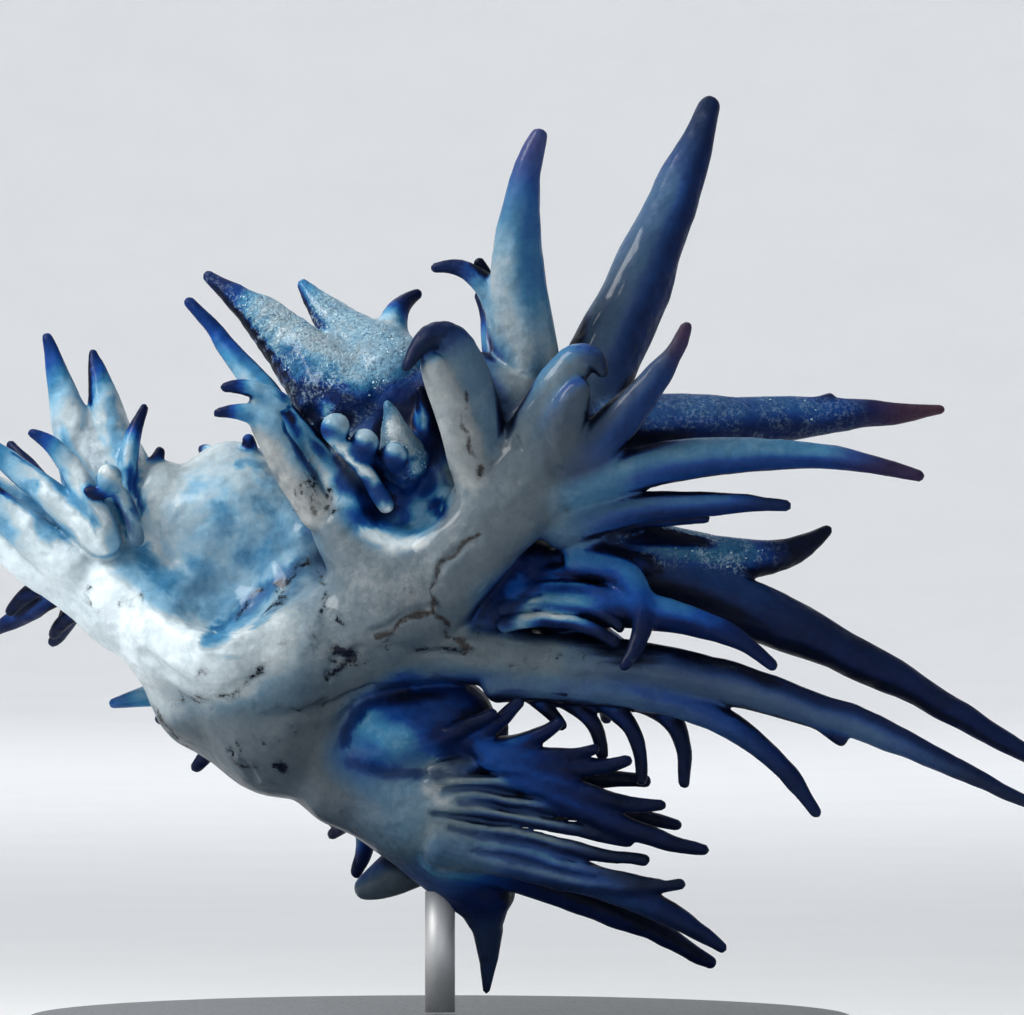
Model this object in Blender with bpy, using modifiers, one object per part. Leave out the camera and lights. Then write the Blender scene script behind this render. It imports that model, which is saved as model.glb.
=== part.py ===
"""Blue dragon sea slug of the crowded-cerata kind (Glaucus marginatus), life size, on a display stand.

The animal is shown from its right and above: its head end is up, its silver back faces -Y, its blue
foot faces +Y, and its right arms reach to +X. Everything is counted on a modelling grid whose step is
0.03 mm, with the origin at the centre of the stand's underside, +X right, +Y back and +Z up.
"""

from collections import namedtuple
from math import cos, radians

import bmesh
import bpy
from mathutils import Matrix, Vector

MM = 0.001
GRID = 0.03 * MM          # one step of the grid that places and radii are counted on
THINNEST = 8.4            # least radius of any flesh, so that a feeler is 0.5 mm thick
VOXEL = 0.11 * MM         # fineness at which the lumps of one part are fused
CUT_GAP = 0.09 * MM       # air between neighbouring parts of the body
CERAS_RINGS = 7           # points along one ceras
SPRAY_ROOT = 8            # how far out of the palm's centre the cerata of a spray start
SHORTEST_SHARE = 0.55     # length of a ceras that stands square to its spray's axis, as a share
SOFTENING = 0.4           # how far each pass evens out the fused lumps
SOFTENING_PASSES = 2
WELD = 0.0005 * MM        # points nearer than this are one point
BALL_SUBDIVISIONS = 3     # fineness of the ball at each point of a chain
SKIN_ROUGHNESS = 0.35

BASE_DIAMETER = 25 * MM
BASE_THICKNESS = 2.4 * MM
BASE_SIDES = 64
ROD_DIAMETER = 0.9 * MM
ROD_SIDES = 20
ROD_TOP = 6.35 * MM       # where the rod meets the underside of the tail root
SHARP_EDGE = 40           # degrees between two faces of the stand from which their edge is sharp

# A round length of flesh: points (x, y, z, radius) joined end to end.
HEAD = [(-208, 118, 606, 46), (-210, 78, 590, 62), (-210, 58, 566, 70)]
NECK = [(-208, 56, 545, 72), (-205, 50, 505, 74)]
BACK_WALL = [(-298, 52, 546, 34), (-280, 50, 594, 40), (-250, 50, 578, 48), (-165, 44, 556, 48),
             (-128, 16, 548, 40)]
TRUNK_FRONT = [(-200, 34, 490, 76), (-175, 14, 455, 88), (-168, 10, 420, 82)]
SHOULDER_RIDGE = [(-262, -14, 462, 48), (-225, -40, 444, 50), (-150, -48, 452, 52)]
TRUNK_MIDDLE = [(-168, 12, 412, 78), (-160, 14, 375, 70)]
LEFT_FLANK = [(-262, 34, 436, 46), (-240, 32, 397, 50), (-170, 34, 357, 46)]
TRUNK_REAR = [(-150, 18, 365, 66), (-100, 18, 347, 60), (-40, 8, 290, 49)]
TAIL = [(-28, 4, 275, 44), (12, 2, 232, 38), (42, 4, 203, 32), (48, 8, 165, 18), (45, 14, 112, 9)]
FOOT = [(-206, 134, 560, 20), (-190, 112, 500, 26), (-165, 98, 430, 28), (-130, 92, 375, 28),
        (-70, 78, 325, 26), (-10, 44, 265, 22), (38, 24, 212, 16)]

# The arms that carry the cerata, from the body outwards.
ARM_FRONT_RIGHT = [(-140, -20, 432, 60), (-60, -44, 475, 64), (-45, -60, 492, 58)]
ARM_MIDDLE_RIGHT = [(-60, -32, 446, 42), (6, -42, 446, 34), (60, -50, 438, 27)]
ARM_REAR_RIGHT = [(-95, -8, 312, 44), (-32, -26, 287, 43)]
REAR_POUCH = [(-48, -22, 358, 53), (10, -16, 372, 45)]
ARM_FRONT_LEFT = [(-255, 10, 462, 52), (-305, 30, 488, 50)]
ARM_MIDDLE_LEFT = [(-215, 60, 400, 42), (-212, 110, 408, 36)]
ARM_REAR_LEFT = [(-100, 50, 322, 38), (-90, 95, 318, 33)]

# The palms at the ends of the arms. The front right one is a cup: two side walls, a back wall.
PALM_FRONT_RIGHT = [(0, -66, 522, 50), (52, -74, 578, 46), (84, -72, 620, 46), (106, -68, 652, 40)]
PALM_FRONT_RIGHT_OUTER = [(60, -70, 590, 44), (100, -68, 598, 38), (125, -60, 570, 26),
                          (160, -34, 556, 28)]
PALM_FRONT_RIGHT_INNER = [(-45, -60, 505, 52), (-96, -56, 558, 34)]
PALM_FRONT_RIGHT_BACK = [(-96, -56, 558, 34), (-84, -22, 615, 38), (-60, 0, 665, 44),
                         (-10, 0, 690, 42), (40, -10, 700, 42), (95, -26, 680, 38)]
PALM_FRONT_RIGHT_CUP = [(-45, -30, 530, 50), (-20, -14, 590, 50), (-10, -8, 650, 46)]
PALM_MIDDLE_RIGHT = [(72, -50, 437, 27), (160, -54, 432, 27)]
MIDDLE_POUCH = [(52, -26, 478, 36), (88, -18, 514, 46), (132, -22, 490, 40), (146, -40, 452, 26)]
PALM_REAR_RIGHT = [(-24, -30, 287, 43), (2, -32, 286, 38)]
PALM_FRONT_LEFT = [(-322, 40, 500, 48), (-352, 50, 520, 46), (-400, 64, 544, 38), (-440, 76, 566, 30)]
PALM_MIDDLE_LEFT = [(-210, 128, 412, 37), (-204, 168, 420, 36)]
PALM_REAR_LEFT = [(-88, 110, 315, 33), (-82, 138, 310, 30)]

# One ceras: a bent, tapering finger. root and tip are (x, y, z), bend is (x, z) half-way in depth
# between them, width is the diameter near the root, a higher taper makes a blunter finger, and end is
# the radius of the round tip.
Ceras = namedtuple("Ceras", "root bend tip width taper end", defaults=(1.5, THINNEST))

CERATA_FRONT_RIGHT = [
    Ceras((-94, -60, 590), (-152, 678), (-250, 30, 794), 35, 2.0),
    Ceras((-120, -66, 580), (-158, 640), (-184, -64, 688), 36, 4.0),
    Ceras((-160, -60, 690), (-186, 712), (-214, -70, 708), 26, 1.0),
    Ceras((-166, -70, 668), (-192, 690), (-218, -78, 684), 26, 1.0),
    Ceras((-92, 8, 690), (-150, 758), (-233, 60, 821), 104, 0.9),
    Ceras((-52, 20, 718), (-98, 764), (-138, 80, 812), 100, 0.9),
    Ceras((-46, 16, 700), (-62, 786), (-23, 60, 801), 44, 1.2),
    Ceras((-52, -68, 590), (-74, 624), (-102, -96, 654), 18, 4.0),
    Ceras((-48, -34, 608), (-58, 636), (-72, -90, 642), 18, 4.0),
    Ceras((-28, -34, 606), (-34, 626), (-44, -86, 630), 18, 4.0),
    Ceras((-36, -58, 636), (-42, 670), (-50, -84, 690), 50, 0.8),
    Ceras((-16, -40, 650), (-10, 690), (-18, -66, 704), 24),
    Ceras((48, -76, 620), (22, 820), (-30, -132, 728), 52),
    Ceras((38, -92, 596), (20, 672), (-4, -118, 727), 38, 3.0, 13.0),
    Ceras((72, -20, 740), (50, 838), (-3, -10, 827), 28),
    Ceras((62, 0, 740), (50, 810), (38, 5, 830), 20),
    Ceras((90, -12, 720), (62, 865), (100, -40, 957), 62, 1.7),
    Ceras((125, -8, 660), (200, 800), (270, 90, 990), 78, 2.0, 13.0),
    Ceras((84, -86, 630), (136, 772), (162, -116, 722), 50, 2.0),
    Ceras((104, -92, 625), (125, 680), (138, -120, 704), 46, 3.0, 12.0),
    Ceras((124, -86, 628), (206, 684), (243, -134, 764), 52, 1.2),
    Ceras((170, -8, 662), (340, 676), (502, 50, 685), 76, 1.1),
    Ceras((360, 26, 680), (378, 690), (391, 30, 694), 17),
    Ceras((110, -80, 600), (300, 668), (473, -112, 619), 50, 1.4),
    Ceras((122, -72, 570), (235, 598), (342, -100, 588), 36, 1.6),
    Ceras((122, -52, 558), (190, 578), (262, -50, 578), 24),
    Ceras((150, -24, 552), (330, 512), (388, 12, 565), 70, 1.2),
]

CERATA_MIDDLE_RIGHT = [
    Ceras((150, -12, 515), (290, 530), (622, -34, 318), 76),
    Ceras((115, -62, 488), (250, 500), (330, -112, 432), 44),
    Ceras((140, -58, 434), (320, 430), (582, -92, 297), 54),
    Ceras((370, -76, 380), (385, 366), (398, -80, 356), 17),
    Ceras((140, -58, 540), (240, 508), (183, -112, 432), 36, 1.6),
    Ceras((64, -72, 472), (130, 486), (174, -104, 454), 17),
    Ceras((64, -62, 486), (140, 504), (178, -96, 470), 17),
    Ceras((70, -56, 500), (150, 522), (180, -88, 486), 18),
    Ceras((84, -52, 512), (150, 540), (196, -78, 506), 18),
    Ceras((92, -44, 526), (160, 560), (208, -66, 526), 18),
    Ceras((120, -24, 530), (190, 540), (214, -40, 500), 24),
    Ceras((60, -54, 412), (295, 424), (372, -86, 287), 36, 2.0),
    Ceras((180, -42, 400), (252, 388), (242, -62, 315), 24),
    Ceras((145, -44, 400), (202, 385), (200, -66, 318), 20),
    Ceras((112, -48, 402), (158, 388), (160, -48, 343), 18),
    Ceras((88, -48, 404), (112, 388), (122, -50, 372), 17),
]

REAR_BARS = [
    Ceras((-6, -54, 324), (68, 342), (132, -54, 322), 18),
    Ceras((-8, -60, 312), (73, 317), (152, -62, 300), 18),
    Ceras((-10, -60, 301), (82, 299), (170, -66, 278), 18),
    Ceras((-10, -63, 290), (90, 280), (188, -68, 257), 18),
    Ceras((-10, -61, 279), (97, 256), (202, -68, 237), 18),
    Ceras((-8, -62, 268), (105, 233), (216, -70, 214), 18),
    Ceras((-4, -58, 257), (140, 200), (238, -72, 212), 22, 2.0),
]

CERATA_REAR_RIGHT = REAR_BARS + [
    Ceras((4, -54, 250), (170, 232), (281, -62, 151), 42, 2.0),
    Ceras((0, -38, 242), (130, 212), (271, -2, 134), 38, 2.0),
    Ceras((-4, -50, 352), (24, 372), (52, -84, 384), 22),
    Ceras((10, -48, 348), (48, 364), (77, -80, 392), 22),
    Ceras((24, -50, 350), (92, 346), (120, -78, 376), 24),
    Ceras((34, -56, 354), (120, 330), (153, -82, 347), 22),
    Ceras((40, -60, 352), (146, 314), (184, -82, 337), 24, 1.8),
    Ceras((44, -62, 346), (168, 286), (220, -84, 291), 24, 1.8),
    Ceras((48, -62, 338), (200, 254), (263, -84, 247), 26, 1.8),
    Ceras((50, -40, 320), (150, 318), (204, -40, 316), 26),
    Ceras((60, -30, 290), (176, 290), (236, -20, 270), 28),
]

CERATA_FRONT_LEFT = [
    Ceras((-345, 50, 590), (-374, 686), (-397, 70, 759), 66, 0.95),
    Ceras((-314, 52, 600), (-338, 690), (-350, 78, 742), 68, 0.9),
    Ceras((-316, 16, 596), (-316, 652), (-296, 36, 688), 21, 1.8),
    Ceras((-300, 42, 610), (-288, 628), (-282, 50, 644), 18),
    Ceras((-334, 0, 552), (-366, 640), (-407, -6, 663), 32, 1.8),
    Ceras((-304, -8, 556), (-308, 596), (-331, -18, 612), 17, 4.0),
    Ceras((-334, -16, 606), (-342, 600), (-350, -20, 604), 17),
    Ceras((-340, 4, 554), (-410, 612), (-474, 24, 670), 36, 1.8),
    Ceras((-370, 18, 528), (-424, 566), (-492, 40, 640), 46, 2.0),
    Ceras((-376, 48, 544), (-436, 604), (-505, 76, 634), 44, 2.0),
    Ceras((-400, 60, 548), (-460, 566), (-528, 84, 590), 42, 2.0),
    Ceras((-380, 84, 520), (-420, 500), (-434, 110, 482), 20),
    Ceras((-345, 80, 500), (-375, 480), (-390, 120, 458), 20),
]

PEEKING_CERATA_LEFT = [
    Ceras((-220, 150, 410), (-290, 402), (-330, 160, 388), 34, 1.2),
]

PEEKING_CERATA_REAR = [
    Ceras((-6, 66, 244), (-42, 218), (-76, 80, 204), 50, 2.5, 12.0),
    Ceras((-88, 118, 292), (-96, 270), (-108, 122, 268), 20),
    Ceras((-40, 90, 270), (-26, 240), (-10, 104, 206), 30),
]

# Round heads of the small cerata that curl over in the cup and beside it.
BALLS_FRONT_RIGHT = [[(-103, -94, 665, 15.5)], [(-73, -92, 650, 14.5)], [(-44, -88, 639, 13.5)]]
BALLS_FRONT_LEFT = [[(-331, -19, 618, 13)]]

# A spray of cerata laid out by rule: rows of fingers that spread from a palm about its outward
# axis, longest in the middle of each row.
Spray = namedtuple("Spray", "centre outward across rows length width curl")
Row = namedtuple("Row", "lean count half_spread share")

SPRAY_MIDDLE_LEFT = Spray(
    (-204, 172, 424), (0.20, 0.93, 0.30), (0.55, 0.0, 0.83),
    [Row(-34, 5, 62, 0.62), Row(-8, 6, 82, 1.0), Row(20, 5, 74, 0.85)], 195, 30, 0.16)
SPRAY_REAR_LEFT = Spray(
    (-80, 142, 308), (0.45, 0.85, 0.18), (0.30, -0.10, 0.95),
    [Row(-26, 4, 58, 0.6), Row(-2, 5, 76, 1.0), Row(24, 4, 62, 0.8)], 150, 26, 0.18)
SPRAY_FRONT_LEFT = Spray(
    (-360, 78, 528), (-0.30, 0.92, 0.36), (0.30, -0.10, 0.95),
    [Row(-10, 4, 60, 0.8), Row(18, 4, 56, 1.0)], 180, 30, 0.16)
SPRAY_FRONT_RIGHT = Spray(
    (60, 10, 690), (0.18, 0.95, 0.10), (-0.55, 0.0, 0.83),
    [Row(-14, 4, 58, 1.0), Row(16, 4, 50, 0.8)], 150, 32, 0.14)
SPRAY_MIDDLE_RIGHT = Spray(
    (125, -8, 478), (0.50, 0.85, -0.05), (0.10, 0.10, 0.95),
    [Row(0, 4, 46, 1.0)], 150, 28, 0.14)
SPRAY_REAR_RIGHT = Spray(
    (14, -14, 288), (0.50, 0.82, -0.10), (0.10, 0.10, 0.95),
    [Row(0, 4, 48, 1.0)], 130, 24, 0.14)

# The four feelers of the head.
FEELERS = {
    "oral_tentacle_left": Ceras((-238, 150, 592), (-256, 610), (-266, 190, 612), 17),
    "oral_tentacle_right": Ceras((-180, 146, 592), (-164, 608), (-156, 186, 610), 17),
    "rhinophore_left": Ceras((-228, 112, 634), (-236, 646), (-242, 150, 646), 17),
    "rhinophore_right": Ceras((-192, 66, 634), (-190, 646), (-192, 58, 656), 17),
}

SILVER_GREY = (0.62, 0.68, 0.74)
PALE_BLUE = (0.45, 0.62, 0.80)
COBALT = (0.03, 0.09, 0.38)
DARK_BLUE = (0.02, 0.04, 0.14)
STEEL_GREY = (0.55, 0.56, 0.58)
SLATE = (0.06, 0.065, 0.07)


def clear_scene():
    for obj in list(bpy.data.objects):
        bpy.data.objects.remove(obj, do_unlink=True)


def new_collection(name, shown=True):
    collection = bpy.data.collections.new(name)
    bpy.context.scene.collection.children.link(collection)
    collection.hide_render = not shown
    return collection


def material(name, colour, roughness, metallic=0.0):
    made = bpy.data.materials.new(name)
    made.use_nodes = True
    shader = made.node_tree.nodes["Principled BSDF"]
    shader.inputs["Base Color"].default_value = (*colour, 1.0)
    shader.inputs["Roughness"].default_value = roughness
    shader.inputs["Metallic"].default_value = metallic
    made.diffuse_color = (*colour, 1.0)
    return made


def evaluated_mesh(obj):
    """A plain mesh of the object as its modifiers leave it."""
    bpy.context.view_layer.update()
    graph = bpy.context.evaluated_depsgraph_get()
    return bpy.data.meshes.new_from_object(obj.evaluated_get(graph))


def curve_point(ceras, share):
    """A point on the quadratic curve from root to tip; share runs from 0 to 1."""
    root = Vector(ceras.root)
    tip = Vector(ceras.tip)
    bend = Vector((ceras.bend[0], (root.y + tip.y) / 2, ceras.bend[1]))
    return root * (1 - share) ** 2 + bend * (2 * share * (1 - share)) + tip * share**2


def ceras_chain(ceras):
    """The ceras as a chain: full near the root and tapering to a blunt point."""
    chain = []
    for ring in range(CERAS_RINGS):
        share = ring / (CERAS_RINGS - 1)
        radius = ceras.end + (ceras.width / 2 - ceras.end) * (1 - share**ceras.taper)
        chain.append((*curve_point(ceras, share), radius))
    return chain


def spray_cerata(spray):
    """The cerata of a spray, row by row."""
    outward = Vector(spray.outward).normalized()
    across = Vector(spray.across)
    across = (across - across.project(outward)).normalized()
    normal = outward.cross(across)
    centre = Vector(spray.centre)
    cerata = []
    for row in spray.rows:
        row_axis = Matrix.Rotation(radians(row.lean), 3, across) @ outward
        for index in range(row.count):
            turn = row.half_spread * (2 * index / max(1, row.count - 1) - 1)
            along = Matrix.Rotation(radians(turn), 3, normal) @ row_axis
            reach = SHORTEST_SHARE + (1 - SHORTEST_SHARE) * cos(radians(turn))
            length = spray.length * row.share * reach
            root = centre + along * SPRAY_ROOT
            tip = root + along * length
            middle = (root + tip) / 2 + normal * (spray.curl * length)
            cerata.append(Ceras(tuple(root), (middle.x, middle.z), tuple(tip), spray.width))
    return cerata


def tube(chain):
    """A closed mesh round the chain: a bevelled curve whose radius follows the chain's."""
    curve = bpy.data.curves.new("tube", "CURVE")
    curve.dimensions = "3D"
    curve.bevel_depth = GRID
    curve.bevel_resolution = 2
    curve.use_fill_caps = True
    spline = curve.splines.new("POLY")
    spline.points.add(len(chain) - 1)
    for point, (x, y, z, radius) in zip(spline.points, chain):
        point.co = (x * GRID, y * GRID, z * GRID, 1.0)
        point.radius = radius
    holder = bpy.data.objects.new("tube", curve)
    bpy.context.scene.collection.objects.link(holder)
    mesh = evaluated_mesh(holder)
    bpy.data.objects.remove(holder)
    bpy.data.curves.remove(curve)
    return mesh


def add_chain(target, chain):
    """Adds the chain's tube and a ball at each of its points to a bmesh."""
    if len(chain) > 1:
        mesh = tube(chain)
        part = bmesh.new()
        part.from_mesh(mesh)
        bmesh.ops.remove_doubles(part, verts=part.verts, dist=WELD)
        part.to_mesh(mesh)
        part.free()
        target.from_mesh(mesh)
        bpy.data.meshes.remove(mesh)
    for x, y, z, radius in chain:
        place = Matrix.Translation((x * GRID, y * GRID, z * GRID))
        bmesh.ops.create_icosphere(
            target, subdivisions=BALL_SUBDIVISIONS, radius=radius * GRID, matrix=place)


def fused(name, chains, triangles):
    """One closed body round all the chains, simplified to about the given number of triangles."""
    shape = bmesh.new()
    for chain in chains:
        add_chain(shape, chain)
    mesh = bpy.data.meshes.new(name)
    shape.to_mesh(mesh)
    shape.free()
    obj = bpy.data.objects.new(name, mesh)
    bpy.context.scene.collection.objects.link(obj)
    remesh = obj.modifiers.new("Fuse", "REMESH")
    remesh.mode = "VOXEL"
    remesh.voxel_size = VOXEL
    smooth = obj.modifiers.new("Soften", "SMOOTH")
    smooth.factor = SOFTENING
    smooth.iterations = SOFTENING_PASSES
    count = 2 * len(evaluated_mesh(obj).polygons)
    decimate = obj.modifiers.new("Simplify", "DECIMATE")
    decimate.ratio = min(1.0, triangles / count)
    decimate.use_collapse_triangulate = True
    obj.data = evaluated_mesh(obj)
    obj.modifiers.clear()
    bpy.context.scene.collection.objects.unlink(obj)
    return obj


def grown_copy(obj, cutters):
    """A cutter that is the object swollen by the gap between parts."""
    cutter = bpy.data.objects.new("cut_" + obj.name, obj.data.copy())
    cutters.objects.link(cutter)
    cutter.hide_render = True
    cutter.display_type = "WIRE"
    swell = cutter.modifiers.new("Grow", "DISPLACE")
    swell.strength = CUT_GAP
    swell.mid_level = 0.0
    return cutter


def boxes_meet(first, second, margin):
    for axis in range(3):
        low_a = min(corner[axis] for corner in first.bound_box) - margin
        high_a = max(corner[axis] for corner in first.bound_box) + margin
        low_b = min(corner[axis] for corner in second.bound_box)
        high_b = max(corner[axis] for corner in second.bound_box)
        if high_a < low_b or high_b < low_a:
            return False
    return True


def keep_largest_island(mesh):
    """Removes the crumbs that a cut can leave beside the main body."""
    shape = bmesh.new()
    shape.from_mesh(mesh)
    bmesh.ops.remove_doubles(shape, verts=shape.verts, dist=WELD)
    unseen = set(shape.verts)
    islands = []
    while unseen:
        island = set()
        front = [unseen.pop()]
        while front:
            vert = front.pop()
            island.add(vert)
            for edge in vert.link_edges:
                other = edge.other_vert(vert)
                if other in unseen:
                    unseen.remove(other)
                    front.append(other)
        islands.append(island)
    islands.sort(key=len)
    for island in islands[:-1]:
        bmesh.ops.delete(shape, geom=list(island), context="VERTS")
    shape.to_mesh(mesh)
    shape.free()


def cut_from(obj, earlier, cutters):
    """Cuts the object back to a thin gap from every part made before it. The manifold solver is the
    one that copes with facets of two parts that graze each other."""
    for neighbour in earlier:
        if not boxes_meet(obj, neighbour, CUT_GAP):
            continue
        cutter = grown_copy(neighbour, cutters)
        boolean = obj.modifiers.new("Meet " + neighbour.name, "BOOLEAN")
        boolean.operation = "DIFFERENCE"
        boolean.solver = "MANIFOLD"
        boolean.object = cutter
        obj.data = evaluated_mesh(obj)
        obj.modifiers.clear()
        bpy.data.objects.remove(cutter)
    keep_largest_island(obj.data)


def flesh_parts():
    """Name, chains, triangle budget and colour of each part of the body, the first ones whole and
    the later ones cut back to meet them."""
    yield "trunk_front", [TRUNK_FRONT, SHOULDER_RIDGE], 300, SILVER_GREY
    yield "trunk_middle", [TRUNK_MIDDLE, LEFT_FLANK], 260, SILVER_GREY
    yield "trunk_rear", [TRUNK_REAR], 200, SILVER_GREY
    yield "neck", [NECK, BACK_WALL], 210, PALE_BLUE
    yield "head", [HEAD], 280, PALE_BLUE
    yield "tail", [TAIL], 200, DARK_BLUE
    yield "foot", [FOOT], 130, COBALT
    for name, ceras in FEELERS.items():
        yield name, [ceras_chain(ceras)], 60, DARK_BLUE
    yield "arm_front_right", [ARM_FRONT_RIGHT], 220, SILVER_GREY
    yield "arm_middle_right", [ARM_MIDDLE_RIGHT], 150, SILVER_GREY
    yield "arm_rear_right", [ARM_REAR_RIGHT, REAR_POUCH], 180, COBALT
    yield "arm_front_left", [ARM_FRONT_LEFT], 150, SILVER_GREY
    yield "arm_middle_left", [ARM_MIDDLE_LEFT], 140, COBALT
    yield "arm_rear_left", [ARM_REAR_LEFT], 140, COBALT
    fans = (
        ("front_right", [PALM_FRONT_RIGHT, PALM_FRONT_RIGHT_OUTER, PALM_FRONT_RIGHT_INNER,
                         PALM_FRONT_RIGHT_BACK, PALM_FRONT_RIGHT_CUP] + BALLS_FRONT_RIGHT,
         CERATA_FRONT_RIGHT + spray_cerata(SPRAY_FRONT_RIGHT), 1220),
        ("middle_right", [PALM_MIDDLE_RIGHT, MIDDLE_POUCH],
         CERATA_MIDDLE_RIGHT + spray_cerata(SPRAY_MIDDLE_RIGHT), 660),
        ("rear_right", [PALM_REAR_RIGHT],
         CERATA_REAR_RIGHT + spray_cerata(SPRAY_REAR_RIGHT), 600),
        ("front_left", [PALM_FRONT_LEFT] + BALLS_FRONT_LEFT,
         CERATA_FRONT_LEFT + spray_cerata(SPRAY_FRONT_LEFT), 620),
        ("middle_left", [PALM_MIDDLE_LEFT],
         PEEKING_CERATA_LEFT + spray_cerata(SPRAY_MIDDLE_LEFT), 510),
        ("rear_left", [PALM_REAR_LEFT],
         PEEKING_CERATA_REAR + spray_cerata(SPRAY_REAR_LEFT), 440),
    )
    for side, palms, cerata, triangles in fans:
        chains = palms + [ceras_chain(ceras) for ceras in cerata]
        yield "fan_" + side, chains, triangles, DARK_BLUE


def make_flesh(parts, cutters):
    made = []
    for name, chains, triangles, colour in flesh_parts():
        obj = fused(name, chains, triangles)
        parts.objects.link(obj)
        cut_from(obj, made, cutters)
        obj.data.materials.append(material(name, colour, SKIN_ROUGHNESS))
        obj.data.shade_smooth()
        made.append(obj)
    return made


def make_cylinder(name, diameter, bottom, top, sides, collection):
    shape = bmesh.new()
    bmesh.ops.create_cone(
        shape, cap_ends=True, segments=sides, radius1=diameter / 2, radius2=diameter / 2,
        depth=top - bottom, matrix=Matrix.Translation((0, 0, (top + bottom) / 2)))
    mesh = bpy.data.meshes.new(name)
    shape.to_mesh(mesh)
    shape.free()
    obj = bpy.data.objects.new(name, mesh)
    collection.objects.link(obj)
    return obj


def make_stand(parts, flesh, cutters):
    base = make_cylinder("stand_base", BASE_DIAMETER, 0, BASE_THICKNESS, BASE_SIDES, parts)
    base.data.materials.append(material("stand_base", SLATE, 0.4))
    rod_foot = BASE_THICKNESS + CUT_GAP
    rod = make_cylinder("stand_rod", ROD_DIAMETER, rod_foot, ROD_TOP, ROD_SIDES, parts)
    bpy.context.view_layer.update()
    cut_from(rod, flesh, cutters)
    rod.data.materials.append(material("stand_rod", STEEL_GREY, 0.25, 1.0))
    for obj in (base, rod):
        obj.data.shade_smooth()
        obj.data.set_sharp_from_angle(angle=radians(SHARP_EDGE))


def main():
    clear_scene()
    parts = new_collection("blue_dragon_sea_slug")
    cutters = new_collection("cutters", shown=False)
    flesh = make_flesh(parts, cutters)
    make_stand(parts, flesh, cutters)


main()
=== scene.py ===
"""Blue dragon sea slug of the crowded-cerata kind: one soft skin over the whole animal, its metallic
granules, a small display stand and a pale studio.

The skin is a distance field of round chains and tapering fingers, hollowed and creased, and turned
into one closed mesh. Its markings, painted shade and painted highlights among them, are attributes
worked out from the same chains and fingers. Lengths in the tables are counted on the modelling grid,
whose step is 0.03 mm, in the frame of the stand.
"""

from collections import namedtuple
from math import cos, pi, radians, sin

import bpy
import numpy as np
from mathutils import Matrix, Vector


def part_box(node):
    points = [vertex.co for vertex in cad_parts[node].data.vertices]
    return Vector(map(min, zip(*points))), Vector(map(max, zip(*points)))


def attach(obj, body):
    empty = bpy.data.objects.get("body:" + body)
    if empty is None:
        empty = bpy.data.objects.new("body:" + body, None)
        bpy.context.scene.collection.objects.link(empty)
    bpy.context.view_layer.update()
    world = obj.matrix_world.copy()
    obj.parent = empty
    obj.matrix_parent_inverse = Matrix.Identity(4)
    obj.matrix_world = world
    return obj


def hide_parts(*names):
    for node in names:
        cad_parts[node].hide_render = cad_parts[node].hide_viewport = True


bl_info = {
    "name": "Blue Dragon Sea Slug",
    "version": (1, 0, 0),
    "blender": (4, 5, 0),
    "location": "View3D > Sidebar > Sea Slug",
    "description": "Builds the skin, granules, stand and studio of a life-size sea slug model",
    "category": "Object",
}

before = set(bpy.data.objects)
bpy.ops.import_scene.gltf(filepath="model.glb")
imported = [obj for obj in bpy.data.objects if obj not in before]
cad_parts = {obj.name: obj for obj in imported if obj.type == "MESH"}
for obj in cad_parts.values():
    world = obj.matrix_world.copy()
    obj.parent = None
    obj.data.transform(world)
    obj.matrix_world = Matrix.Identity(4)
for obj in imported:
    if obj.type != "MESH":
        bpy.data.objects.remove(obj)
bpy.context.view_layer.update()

MM = 0.001
GRID = 0.03 * MM
FAR = 90.0                 # a distance that counts as away from everything, in grid steps
FIELD_LOW = (-560, -190, 84)
FIELD_HIGH = (660, 345, 1014)
CELL_CORNERS = [(i, j, k) for i in (0, 1) for j in (0, 1) for k in (0, 1)]

STAND_NODES = ("stand_base", "stand_rod")
FLESH_NODES = [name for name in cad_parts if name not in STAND_NODES]

# ----------------------------------------
# Shape tables. A chain is a list of points (x, y, z, radius) joined end to end.

HEAD = [(-208, 118, 606, 46), (-210, 78, 590, 62), (-210, 58, 566, 70)]
NECK = [(-208, 56, 545, 72), (-205, 50, 505, 74)]
BACK_WALL = [(-298, 52, 546, 34), (-280, 50, 594, 40), (-250, 50, 578, 48), (-165, 44, 556, 48),
             (-128, 16, 548, 40)]
TRUNK_FRONT = [(-200, 34, 490, 76), (-175, 14, 455, 88), (-168, 10, 420, 82)]
SHOULDER_RIDGE = [(-262, -14, 462, 48), (-225, -40, 444, 50), (-150, -48, 452, 52)]
TRUNK_MIDDLE = [(-168, 12, 412, 78), (-160, 14, 375, 70)]
LEFT_FLANK = [(-262, 34, 436, 46), (-240, 32, 397, 50), (-170, 34, 357, 46)]
TRUNK_REAR = [(-150, 18, 365, 66), (-100, 18, 347, 60), (-40, 8, 290, 49)]
TAIL = [(-28, 4, 275, 44), (12, 2, 232, 38), (42, 4, 203, 32), (48, 8, 165, 16), (45, 14, 104, 4)]
FOOT = [(-206, 134, 560, 20), (-190, 112, 500, 26), (-165, 98, 430, 28), (-130, 92, 375, 28),
        (-70, 78, 325, 26), (-10, 44, 265, 22), (38, 24, 212, 16)]

ARM_FRONT_RIGHT = [(-140, -20, 432, 60), (-60, -44, 475, 64), (-45, -60, 492, 58)]
ARM_MIDDLE_RIGHT = [(-60, -32, 446, 42), (6, -42, 446, 34), (60, -50, 438, 27)]
ARM_REAR_RIGHT = [(-95, -8, 312, 44), (-32, -26, 287, 43)]
REAR_POUCH = [(-48, -22, 358, 53), (10, -16, 372, 45)]
ARM_FRONT_LEFT = [(-255, 10, 462, 52), (-305, 30, 488, 50)]
ARM_MIDDLE_LEFT = [(-215, 60, 400, 42), (-212, 110, 408, 36)]
ARM_REAR_LEFT = [(-100, 50, 322, 38), (-90, 95, 318, 33)]

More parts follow.
